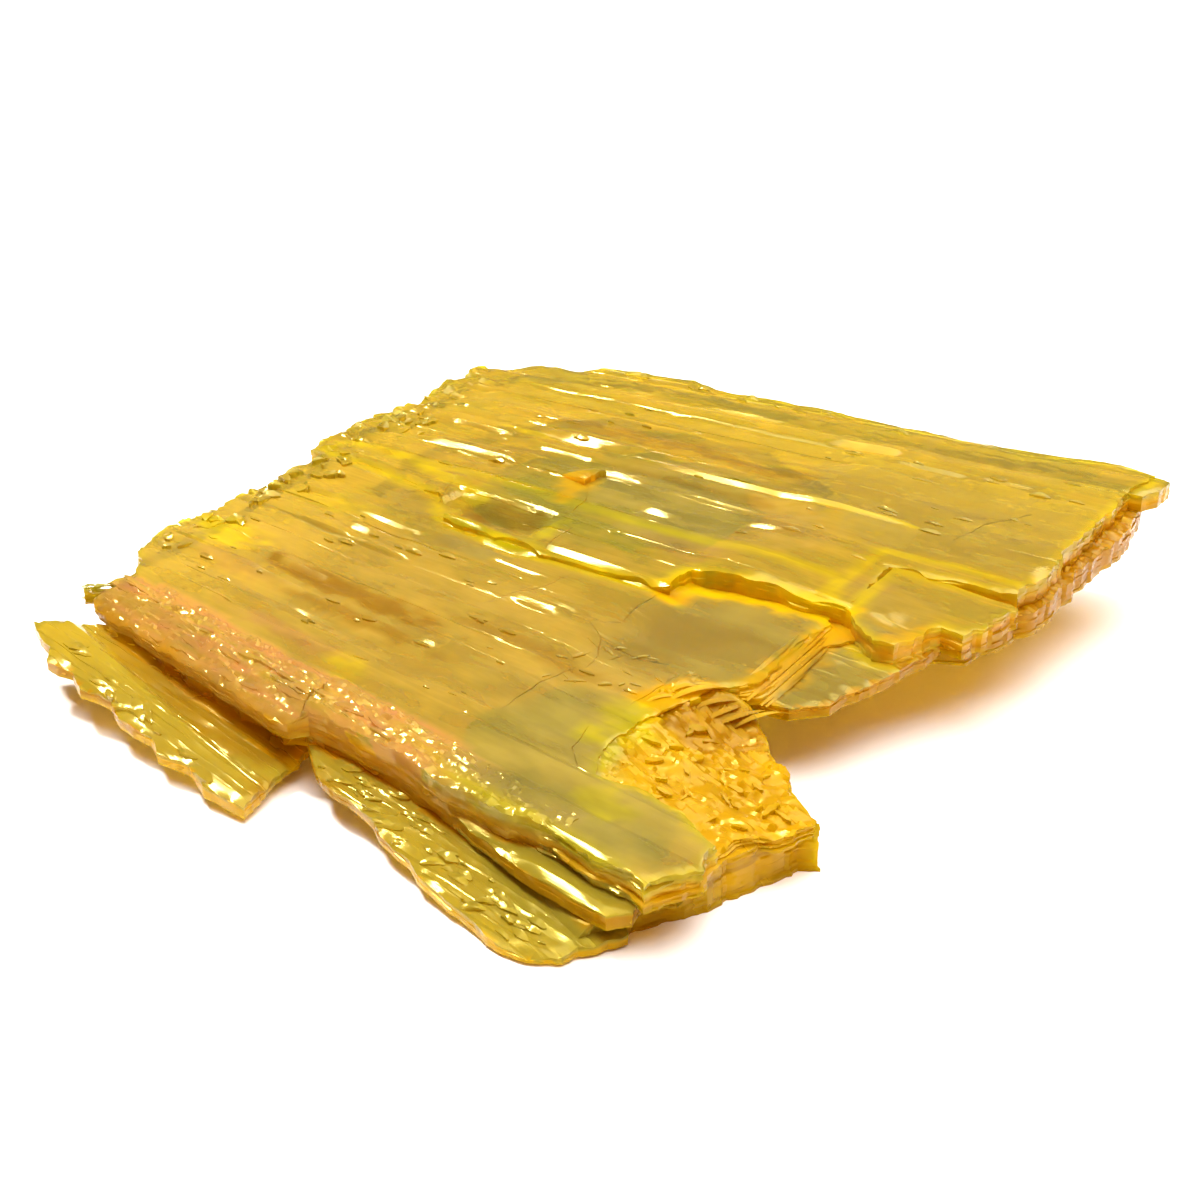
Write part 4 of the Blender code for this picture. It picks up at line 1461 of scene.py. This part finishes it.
def solid_of_rings(name: str, rings: Sequence[Array]) -> Body:
    """A closed solid through rings of equal length, from the top one down, with a face on each end.

    Args:
        name: its name.
        rings: x, y and z of the points round each ring.

    Returns:
        The solid.
    """
    count = len(rings[0])
    here = np.arange(count)
    after = (here + 1) % count
    faces = []
    for level in range(len(rings) - 1):
        up, down = level * count, (level + 1) * count
        faces += np.stack([up + here, down + here, down + after, up + after], 1).tolist()
    faces.append(list(range(count)))
    faces.append(list(range((len(rings) - 1) * count, len(rings) * count))[::-1])
    return object_of(name, np.vstack(rings), faces)


def solid_of_grid(name: str, x: Array, y: Array, z: Array, depth: float = 8.0) -> Body:
    """A closed block under a height field whose first axis runs along x and second along y.

    Args:
        name: its name.
        x: the grid points' x.
        y: the grid points' y.
        z: the grid points' height.
        depth: how far its foot lies below the lowest point.

    Returns:
        The block.
    """
    along, across = z.shape
    number = np.arange(along * across).reshape(along, across)
    quads = [number[:-1, :-1], number[1:, :-1], number[1:, 1:], number[:-1, 1:]]
    faces = np.stack([corner.ravel() for corner in quads], 1).tolist()
    base = along * across
    feet = [(x[i, j], y[i, j], z.min() - depth) for i, j in ((0, 0), (-1, 0), (-1, -1), (0, -1))]
    faces.append([base, base + 3, base + 2, base + 1])
    faces.append(number[:, 0][::-1].tolist() + [base, base + 1])
    faces.append(number[-1, :][::-1].tolist() + [base + 1, base + 2])
    faces.append(number[:, -1].tolist() + [base + 2, base + 3])
    faces.append(number[0, :].tolist() + [base + 3, base])
    points = np.vstack([np.stack([x.ravel(), y.ravel(), z.ravel()], 1), feet])
    return object_of(name, points, faces)


class Join(Enum):
    """What happens between a closed body and others."""

    UNION = "UNION"
    DIFFERENCE = "DIFFERENCE"
    INTERSECT = "INTERSECT"


def combine(body: Body, others: Iterable[Body], join: Join) -> Body:
    """Joins, cuts or intersects a closed body with others, and deletes the others.

    Args:
        body: the body that stays.
        others: closed meshes to use up.
        join: what happens between them.

    Returns:
        The body, with its new mesh.
    """
    tools = bpy.data.collections.new("tools")
    bpy.context.scene.collection.children.link(tools)
    used = list(others)
    for other in used:
        bpy.context.scene.collection.objects.unlink(other)
        tools.objects.link(other)
    modifier = body.modifiers.new(join.value, "BOOLEAN")
    modifier.operation = join.value
    modifier.solver = "MANIFOLD"
    modifier.operand_type = "COLLECTION"
    modifier.collection = tools
    graph = bpy.context.evaluated_depsgraph_get()
    made = bpy.data.meshes.new_from_object(body.evaluated_get(graph))
    body.modifiers.clear()
    old, body.data = body.data, made
    made.name = body.name
    bpy.data.meshes.remove(old)
    for other in used:
        mesh = other.data
        bpy.data.objects.remove(other)
        bpy.data.meshes.remove(mesh)
    bpy.data.collections.remove(tools)
    return body


def keep_largest(mesh: bpy.types.Mesh) -> None:
    """Deletes every part of a mesh that isn't connected with its largest part.

    Args:
        mesh: the mesh to change.
    """
    edges = np.empty(len(mesh.edges) * 2, np.int32)
    mesh.edges.foreach_get("vertices", edges)
    start, end = edges.reshape(-1, 2).T
    label = np.arange(len(mesh.vertices))
    while True:
        lowest = label.copy()
        np.minimum.at(lowest, start, label[end])
        np.minimum.at(lowest, end, label[start])
        lowest = lowest[lowest]
        if (lowest == label).all():
            break
        label = lowest
    main_part = np.bincount(label).argmax()
    body = bmesh.new()
    body.from_mesh(mesh)
    loose = [vertex for vertex in body.verts if label[vertex.index] != main_part]
    bmesh.ops.delete(body, geom=loose, context="VERTS")
    body.to_mesh(mesh)
    body.free()


def within(x: Array, y: Array, outline: Outline) -> Array:
    """Whether each plan point lies inside a closed outline.

    Args:
        x: places along x in the plan.
        y: places along y in the plan.
        outline: its corners.

    Returns:
        True for each point inside.
    """
    found = np.zeros(x.shape, bool)
    for (x0, y0), (x1, y1) in sides(outline):
        spans = (y0 > y) != (y1 > y)
        if y0 != y1:
            found ^= spans & (x < x0 + (y - y0) * (x1 - x0) / (y1 - y0))
    return found


def edge_distance(x: Array, y: Array, outline: Outline) -> Array:
    """Distance from each plan point to the nearest stretch of an outline.

    Args:
        x: places along x in the plan.
        y: places along y in the plan.
        outline: its corners.

    Returns:
        The distance of each point, mm.
    """
    nearest = np.full(x.shape, 1e9)
    for (x0, y0), (x1, y1) in sides(outline):
        dx, dy = x1 - x0, y1 - y0
        share = np.clip(((x - x0) * dx + (y - y0) * dy) / (dx * dx + dy * dy), 0.0, 1.0)
        nearest = np.minimum(nearest, np.hypot(x - x0 - share * dx, y - y0 - share * dy))
    return nearest


# ---------------------------------------------------------------------------------------------
# Finish


def linear(colour: str) -> tuple[float, float, float, float]:
    """An sRGB hex colour as linear light."""
    parts = [int(colour[k:k + 2], 16) / 255 for k in (1, 3, 5)]
    return (*[c / 12.92 if c <= 0.04045 else ((c + 0.055) / 1.055) ** 2.4 for c in parts], 1.0)


def add(
    tree: Tree,
    kind: str,
    settings: dict | None = None,
    links: dict | None = None,
    stops: Sequence[tuple[float, str]] = (),
    **properties: object,
) -> bpy.types.Node:
    """Adds one node.

    Args:
        tree: the material's or world's node tree.
        kind: the node's type, without the ShaderNode that all of them start with.
        settings: values of its input sockets, by name or number.
        links: sockets that feed its inputs, by name or number.
        stops: places and hex colours, where it is a colour ramp.
        **properties: the node's own settings.

    Returns:
        The node.
    """
    node = tree.nodes.new("ShaderNode" + kind)
    for name, value in properties.items():
        setattr(node, name, value)
    for place, (at, colour) in enumerate(stops):
        elements = node.color_ramp.elements
        element = elements[place] if place < 2 else elements.new(at)
        element.position = at
        element.color = linear(colour)
    for socket, value in (settings or {}).items():
        node.inputs[socket].default_value = value
    for socket, source in (links or {}).items():
        tree.links.new(source, node.inputs[socket])
    return node


def mark_of(tree: Tree, name: str) -> Socket:
    """One of the marks that the mesh carries."""
    return add(tree, "Attribute", attribute_name=name).outputs["Fac"]


def ranged(tree: Tree, value: Socket, start: tuple[float, float], to: tuple[float, float]) -> Socket:
    """Maps a value's stretch between two levels to two others, and holds it at their ends.

    Args:
        tree: the node tree.
        value: the socket that carries the value.
        start: the two levels.
        to: what they become.

    Returns:
        The socket that carries the result.
    """
    return add(tree, "MapRange", {1: start[0], 2: start[1], 3: to[0], 4: to[1]}, {0: value}).outputs[0]


def tinted(tree: Tree, colour: Socket, hue: str, amount: Socket) -> Socket:
    """Lays an amount of one colour over another.

    Args:
        tree: the node tree.
        colour: the socket that carries the colour below.
        hue: the hex colour above.
        amount: the socket that says how much of it shows.

    Returns:
        The socket that carries the result.
    """
    links = {0: amount, 6: colour}
    return add(tree, "Mix", {7: linear(hue)}, links, data_type="RGBA").outputs[2]


@dataclass(frozen=True)
class CleavedOrpiment:
    """Cleaved orpiment: soft arsenic sulphide that split along its leaves.

    Real orpiment has an IOR near 2.6 and a resinous to pearly lustre. The eye sees golden bands along
    the striations, white glints on steep ribs, amber where an edge is thick, and lemon where it is thin.
    The colour also holds painted light: a glow on the middle step's riser, bright yellow painted
    highlights beside the glints, a coppery painted sheen on the fold, lighter stretches where the plate
    shows shade, and painted shade in dark amber in its hollows and down its walls.
    """

    tan: str = "#C0A438"
    khaki: str = "#C2AE38"
    olive: str = "#BCAE3E"
    gold: str = "#C6AA38"
    bright: str = "#DCC61C"
    # also the colour of the painted glow and of the painted highlights beside the glints
    lemon: str = "#EED806"
    amber: str = "#DCA606"
    straw: str = "#CCC044"
    honey: str = "#A07812"
    smoke: str = "#A89A48"
    rose: str = "#C09A4C"
    # painted shade: the dark amber laid in hollows, under the fold and down broken walls
    deep: str = "#A66E00"
    # painted light: the lighter tone laid where the plate shows shade
    fair: str = "#CCB04E"
    # painted sheen: the pinkish light that the fold's thin layers reflect
    copper: str = "#B88046"
    pale: str = "#AA942A"
    ior: float = 1.56
    band_width: float = 1.6      # mm across the striations
    fibre_width: float = 0.09    # mm, drawn as coarse as it needs to show
    patch_size: float = 6.0      # mm
    patch_stretch: tuple[float, float] = (1.6, 0.6)
    cloud_length: float = 4.5    # mm along the striations
    fibre_length: float = 2.2    # mm
    fibre_shade: tuple[float, float] = (0.86, 1.06)
    fibre_bump: float = 0.3
    fibre_depth: float = 0.02 * MM
    clearness: tuple[float, float] = (0.60, 0.76)      # how much light passes, band by band
    dense_clearness: float = 0.45                      # the share of it that passes broken walls
    smoothness: tuple[float, float] = (0.10, 0.18)
    riser_roughness: float = 0.12                      # what a broken wall adds
    shine: float = 0.34
    sheen_tint: tuple[float, float, float, float] = (1.0, 0.78, 0.06, 1.0)
    glow_share: float = 0.3                            # light that scatters under the surface
    glow: tuple[float, float, float] = (1.0, 0.82, 0.12)
    glow_depth: float = 3.0 * MM
    absorbed: tuple[float, float, float] = (0.96, 0.87, 0.10)
    density: float = 480.0       # per metre

    def colour(self, tree: Tree, bands: Socket, fibres: Socket, patches: Socket) -> Socket:
        """The surface's colour: bands along the striations, with all stains, painted light, shade and sheen
        laid over them.

        Args:
            tree: the material's node tree.
            bands: the level of the broad bands.
            fibres: the level of the fine fibres.
            patches: the level of the broad patches.

        Returns:
            The socket that carries the colour.
        """
        stops = (
            (0.34, self.tan), (0.43, self.gold), (0.50, self.khaki), (0.58, self.olive), (0.68, self.straw),
        )
        banded = add(tree, "ValToRGB", None, {0: bands}, stops=stops).outputs[0]
        warm = ranged(tree, patches, (0.45, 0.70), (0.0, 0.5))
        colour = tinted(tree, banded, self.gold, warm)
        shade = ranged(tree, fibres, (0.3, 0.7), self.fibre_shade)
        colour = add(
            tree, "Mix", {0: 1.0}, {6: colour, 7: shade}, data_type="RGBA", blend_type="MULTIPLY"
        ).outputs[2]
        # painted light, painted shade and the painted sheen are laid here along with the stains
        for name, hue in (
            ("fair", self.fair), ("honey", self.honey), ("rose", self.rose), ("smoke", self.smoke),
            ("rim", self.bright), ("riser", self.amber), ("amber", self.amber), ("pale", self.pale),
            ("deep", self.deep), ("copper", self.copper), ("lemon", self.lemon),
        ):
            colour = tinted(tree, colour, hue, mark_of(tree, name))
        return colour

    def material(self) -> bpy.types.Material:
        """The finish as a node material."""
        made = bpy.data.materials.new("orpiment, cleaved")
        made.use_nodes = True
        tree = made.node_tree
        tree.nodes.clear()
        grain = add(tree, "Attribute", attribute_name="grain").outputs["Vector"]
        dense = mark_of(tree, "dense")

        def noise(along: float, across: float, detail: float, roughness: float) -> Socket:
            """Noise that is stretched along the striations.

            Args:
                along: length of its cells, mm.
                across: width of its cells, mm.
                detail: how many finer layers it has.
                roughness: how strong they are.

            Returns:
                The socket that carries its level.
            """
            cells = add(
                tree, "VectorMath", {1: (1 / along, 1 / across, 1 / across)}, {0: grain}, operation="MULTIPLY"
            ).outputs[0]
            settings = {"Scale": 1.0, "Detail": detail, "Roughness": roughness}
            return add(tree, "TexNoise", settings, {"Vector": cells}).outputs[0]

        tone = mark_of(tree, "tone")
        clouds = noise(self.cloud_length, self.band_width, 3.0, 0.55)
        bands = add(tree, "Mix", {0: 0.85}, {2: tone, 3: clouds}, data_type="FLOAT").outputs[0]
        fibres = noise(self.fibre_length, self.fibre_width, 2.0, 0.6)
        patches = noise(*(self.patch_size * share for share in self.patch_stretch), 2.0, 0.5)
        colour = self.colour(tree, bands, fibres, patches)
        through = ranged(tree, bands, (0.35, 0.65), self.clearness)
        clouding = ranged(tree, dense, (0.0, 1.0), (1.0, self.dense_clearness))
        through = add(tree, "Math", None, {0: through, 1: clouding}, operation="MULTIPLY").outputs[0]
        rough = ranged(tree, clouds, (0.3, 0.7), self.smoothness)
        rough = add(
            tree, "Math", {1: self.riser_roughness}, {0: mark_of(tree, "riser"), 2: rough},
            operation="MULTIPLY_ADD",
        ).outputs[0]
        bump = add(
            tree, "Bump", {"Strength": self.fibre_bump, "Distance": self.fibre_depth}, {"Height": fibres}
        ).outputs[0]
        shader = add(
            tree, "BsdfPrincipled",
            {"IOR": self.ior, "Metallic": 0.0, "Specular IOR Level": self.shine,
             "Specular Tint": self.sheen_tint, "Subsurface Weight": self.glow_share,
             "Subsurface Radius": self.glow, "Subsurface Scale": self.glow_depth},
            {"Base Color": colour, "Transmission Weight": through, "Roughness": rough, "Normal": bump},
        )
        volume = add(tree, "VolumeAbsorption", {"Color": (*self.absorbed, 1.0), "Density": self.density})
        add(tree, "OutputMaterial", None, {"Surface": shader.outputs[0], "Volume": volume.outputs[0]})
        return made


# ---------------------------------------------------------------------------------------------
# The plate


LEDGE_LEVELS = (0.95, 1.22)      # depths below the mean top between which the ledge's face lies
FOLD_LEVEL = 1.6                 # the fold's skin ends this deep
LOW_LEVEL = 1.0                  # the pale sheets lie deeper than this
SHEET_SKIN = 0.24                # how near to a sheet's top a point counts as on it
WALL_DEPTH = (0.40, 0.8)         # below its own leaf's top, a point turns into a broken wall here
# painted shade: below the mean top, broken walls darken to dark amber between these depths
SHADED_WALL = (0.7, 1.1)        # below the mean top, walls turn deep amber here
WALL_END = 2.4                   # and keep their own colour below this
COPPER_FADE = (0.65, 1.05)       # the coppery sheen fades out down the fold
RIM_FADE = (0.05, 0.55)          # the bright rim fades out this far from a leaf's edge
FOOT_FADE = (1.4, 2.2)           # the front block's pale foot fades out at this height
SKIN = 0.8                       # the plate's upper skin is this thick
DENSE_SHARES = {"riser": 0.6, "copper": 0.8, "pale": 0.4, "amber": 0.4}    # how much each mark clouds


@dataclass
class Plate:
    """The cleavage plate: all its leaves as one closed piece."""

    leaves: tuple[Leaf, ...] = LEAVES
    scatters: tuple[Scatter, ...] = SCATTERS
    blades: tuple[Blade, ...] = BLADES
    cracks: tuple[Crack, ...] = CRACKS
    finish: CleavedOrpiment = field(default_factory=CleavedOrpiment)
    sharp_angle: float = math.radians(22)

    def build(self) -> Body:
        """Makes the plate's mesh, in metres, in the part's frame."""
        first, *others = [leaf.solid() for leaf in self.leaves]
        others += [flake for scatter in self.scatters for flake in scatter.flakes()]
        others += [blade.solid() for blade in self.blades]
        plate = combine(first, others, Join.UNION)
        plate = combine(plate, [crack.cutter() for crack in self.cracks], Join.DIFFERENCE)
        keep_largest(plate.data)
        plate.name = plate.data.name = "orpiment_specimen"
        points = np.empty(len(plate.data.vertices) * 3)
        plate.data.vertices.foreach_get("co", points)
        points = points.reshape(-1, 3)
        self.mark(plate.data, points)
        low, high = (np.array(corner) for corner in CAD_BOX)
        points = (points - [*PLAN_CENTRE, 0.0]) * MM
        points = np.clip(points, low, high)
        plate.data.vertices.foreach_set("co", points.ravel())
        plate.data.update()
        plate.data.shade_smooth()
        plate.data.set_sharp_from_angle(angle=self.sharp_angle)
        return plate

    def leaf(self, name: str) -> Leaf:
        """The leaf of this name."""
        return next(leaf for leaf in self.leaves if leaf.name == name)

    def over(self, name: str, x: Array, y: Array) -> Array:
        """Whether each plan point lies over the leaf of this name."""
        return within(x, y, self.leaf(name).outline)

    def low_leaves(self, x: Array, y: Array, z: Array, depth: Array) -> Array:
        """Whether each point lies on top of one of the pale thin sheets along the near edge.

        Args:
            x: places along x in the plan.
            y: places along y in the plan.
            z: heights.
            depth: how far the points lie below the mean top.

        Returns:
            True for each point on one.
        """
        found = np.zeros(len(x), bool)
        for name in ("left", "bottom", "strip"):
            found |= self.over(name, x, y) & (np.abs(self.leaf(name).top(x, y) - z) < SHEET_SKIN)
        return found & (depth > LOW_LEVEL) & ~self.over("fold", x, y)

    def marks(self, x: Array, y: Array, z: Array, row: Array, depth: Array) -> dict[str, Array]:
        """What the finish needs to know of each point.

        Args:
            x: places in the plan.
            y: places in the plan.
            z: heights.
            row: the striation rows through the points.
            depth: how far the points lie below the mean top.

        Returns:
            The strength, from 0 to 1, of all stains and painted light and shade, of broken walls
            (riser), the fold's painted coppery sheen, the pale low sheets, the ribs' tone, the bright rims
            and the dense stretches.
        """
        near = self.over("near", x, y) & ~self.over("far", x, y) & ~self.over("step", x, y)
        below = np.where(near, near_top(x, y) - z, depth)
        ledge = self.over("ledge", x, y) & (depth > LEDGE_LEVELS[0]) & (depth < LEDGE_LEVELS[1])
        riser = ramp(below, *WALL_DEPTH) * ~ledge
        streaks = 0.5 + 0.5 * STREAKS.swell(x, row)
        # painted sheen: a coppery tint for the pinkish light that the fold's thin layers reflect, streaked
        # along the striations and fading down the fold
        copper = (self.over("fold", x, y) & (depth < FOLD_LEVEL)) * (0.15 + 0.85 * until(x, 7.0, 5.0))
        copper = copper * (0.35 + 0.65 * streaks) * (1 - 0.85 * ramp(depth, *COPPER_FADE))
        low = self.low_leaves(x, y, z, depth)
        nearest = [edge_distance(x, y, self.leaf(name).outline) for name in ("near", "far", "step")]
        rim = (1 - ramp(np.min(nearest, 0), *RIM_FADE)) * (1 - riser)
        marks = {
            "riser": riser * ~low * (1 - copper), "copper": copper, "pale": low * 1.0,
            "tone": TOP_RIBS.look_up(x, row)[1], "rim": rim * ~low * (1 - copper),
        }
        shallow = depth < SKIN + 0.6 * (x > 9.0)
        for stain in Stain:
            covers = [patch.cover(x, row) * shallow for patch in PATCHES.get(stain, ())]
            covers += [zone.cover(x, y, depth) for zone in ZONES if zone.stain is stain]
            marks[stain.value] = np.max([np.zeros_like(x), *covers], 0)
        marks["lemon"] = marks["lemon"] * (0.45 + 0.5 * streaks)
        # painted shade: broken walls darken lower down, less on the front block's foot, which is laid paler
        # instead
        wall = marks["riser"] * ramp(depth, *SHADED_WALL) * (depth < WALL_END) * (1 - 0.7 * marks["amber"])
        foot = wall * self.over("block", x, y) * (1 - ramp(z, *FOOT_FADE))
        marks["pale"] = np.maximum(marks["pale"], 0.3 * foot)
        marks["deep"] = np.maximum(marks["deep"], 0.85 * wall * (1 - 0.35 * foot))
        # painted light: the near side of the near leaf is lightened where it shows shade
        near_side = near * (depth < SKIN) * ramp(-y, -1.0, 4.0) * (0.5 + 0.4 * ramp(x, 2.0, 6.0))
        marks["fair"] = np.maximum(marks["fair"], near_side)
        marks["dense"] = np.max([share * marks[name] for name, share in DENSE_SHARES.items()], 0)
        pane = window(x, y) * (y < STEP_Y) * (depth < 1.0)
        marks["smoke"] = np.max([marks["smoke"], 0.9 * pane, 0.9 * ledge], 0)
        return marks

    def mark(self, mesh: bpy.types.Mesh, points: Array) -> None:
        """Stores each point's place in the grain and its marks in the mesh.

        Args:
            mesh: the plate's mesh.
            points: its points in the plan frame, mm.
        """
        x, y, z = points.T
        depth = mean_top(x, y) - z
        row = FAN.row_of(x, y)
        grain = mesh.attributes.new("grain", "FLOAT_VECTOR", "POINT")
        grain.data.foreach_set("vector", np.stack([x, row, depth], 1).astype(np.float32).ravel())
        for name, values in self.marks(x, y, z, row, depth).items():
            layer = mesh.attributes.new(name, "FLOAT", "POINT")
            layer.data.foreach_set("value", values.astype(np.float32))

    def dress(self, plate: Body) -> None:
        """Gives the plate its finish."""
        plate.data.materials.clear()
        plate.data.materials.append(self.finish.material())


# ---------------------------------------------------------------------------------------------
# Floor, light and camera


@dataclass(frozen=True)
class Lamp:
    """A rectangular soft light that faces the plate.

    Attributes:
        name: what it is for.
        toward: the direction from the plate to it.
        away: its distance, m.
        side: its width, which is also its height, m.
        power: watts.
        colour: the light's colour.
    """

    name: str
    toward: tuple[float, float, float]
    away: float
    side: float
    power: float
    colour: str = "#FFFFFF"

    def build(self, target: Vector) -> None:
        """Puts the light in the scene.

        Args:
            target: the point that it faces.
        """
        light = bpy.data.lights.new(self.name, "AREA")
        light.shape = "SQUARE"
        light.size = self.side
        light.energy = self.power
        light.color = linear(self.colour)[:3]
        lamp = bpy.data.objects.new(self.name, light)
        bpy.context.scene.collection.objects.link(lamp)
        direction = Vector(self.toward).normalized()
        lamp.location = target + direction * self.away
        lamp.rotation_euler = direction.to_track_quat("Z", "Y").to_euler()


LAMPS = (
    Lamp("key", (-0.545, 0.0, 0.838), 0.6, 0.09, 4.6),
    Lamp("fill", (0.10, 0.15, 1.0), 1.2, 1.5, 38.0),
    Lamp("bounce", (0.55, -0.55, 0.62), 1.2, 1.0, 5.0, "#FFB050"),
)


@dataclass
class Studio:
    """A plain pale floor, soft light from the back left, and a close camera."""

    floor_size: float = 1.7
    floor_colour: str = "#F4F2F0"
    floor_roughness: float = 0.9
    floor_shine: float = 0.1
    surroundings: str = "#F2EEEA"
    glow: tuple[float, float] = (0.15, 0.09)           # low down and overhead
    target: tuple[float, float, float] = (3.13 * MM, -2.28 * MM, 4.0 * MM)
    azimuth: float = math.radians(36)
    elevation: float = math.radians(22)
    distance: float = 78 * MM
    lens: float = 51.0

    def floor(self) -> Body:
        """A wide pale floor."""
        half = self.floor_size / 2
        corners = np.array([(-half, -half, 0), (half, -half, 0), (half, half, 0), (-half, half, 0)])
        floor = object_of("floor", corners, [(0, 1, 2, 3)])
        made = bpy.data.materials.new("paper, matt white")
        made.use_nodes = True
        shader = made.node_tree.nodes["Principled BSDF"]
        shader.inputs["Base Color"].default_value = linear(self.floor_colour)
        shader.inputs["Roughness"].default_value = self.floor_roughness
        shader.inputs["Specular IOR Level"].default_value = self.floor_shine
        floor.data.materials.append(made)
        return floor

    def world(self) -> None:
        """Dim surroundings that the plate mirrors, and a pale backdrop behind the floor."""
        world = bpy.data.worlds.new("studio")
        bpy.context.scene.world = world
        world.use_nodes = True
        tree = world.node_tree
        tree.nodes.clear()
        seen = add(tree, "LightPath").outputs["Is Camera Ray"]
        toward = add(tree, "TexCoord").outputs["Generated"]
        height = add(tree, "SeparateXYZ", None, {0: toward}).outputs[2]
        low, high = self.glow
        glow = add(tree, "MapRange", {1: 0.25, 2: 0.70, 3: low, 4: high}, {0: height}).outputs[0]
        dim = add(tree, "Background", {"Color": linear(self.surroundings)}, {"Strength": glow})
        bright = add(tree, "Background", {"Color": (1, 1, 1, 1), "Strength": 1.0})
        mixed = add(tree, "MixShader", None, {0: seen, 1: dim.outputs[0], 2: bright.outputs[0]})
        add(tree, "OutputWorld", None, {0: mixed.outputs[0]})

    def camera(self) -> None:
        """A close camera that looks down on the plate from the front right."""
        data = bpy.data.cameras.new("camera")
        data.lens = self.lens
        data.sensor_width = 36
        data.clip_start = 0.001
        camera = bpy.data.objects.new("camera", data)
        bpy.context.scene.collection.objects.link(camera)
        back = Vector((
            math.sin(self.azimuth) * math.cos(self.elevation),
            -math.cos(self.azimuth) * math.cos(self.elevation),
            math.sin(self.elevation),
        ))
        camera.location = Vector(self.target) + back * self.distance
        camera.rotation_euler = back.to_track_quat("Z", "Y").to_euler()
        bpy.context.scene.camera = camera

    def build(self) -> None:
        """Sets up the floor, the lights, the world and the camera."""
        self.floor()
        for lamp in LAMPS:
            lamp.build(Vector(self.target))
        self.world()
        self.camera()
        bpy.context.scene.view_settings.view_transform = "Standard"


def main() -> None:
    """Builds the studio and the plate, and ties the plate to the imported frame."""
    logging.basicConfig(level=logging.INFO, format="%(name)s: %(message)s")
    Studio().build()
    log.info("studio ready")
    maker = Plate()
    plate = maker.build()
    maker.dress(plate)
    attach(plate, "root")
    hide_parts("orpiment_plate")
    log.info("%s: %d triangles", plate.name, sum(len(f.vertices) - 2 for f in plate.data.polygons))


if __name__ == "__main__":
    main()
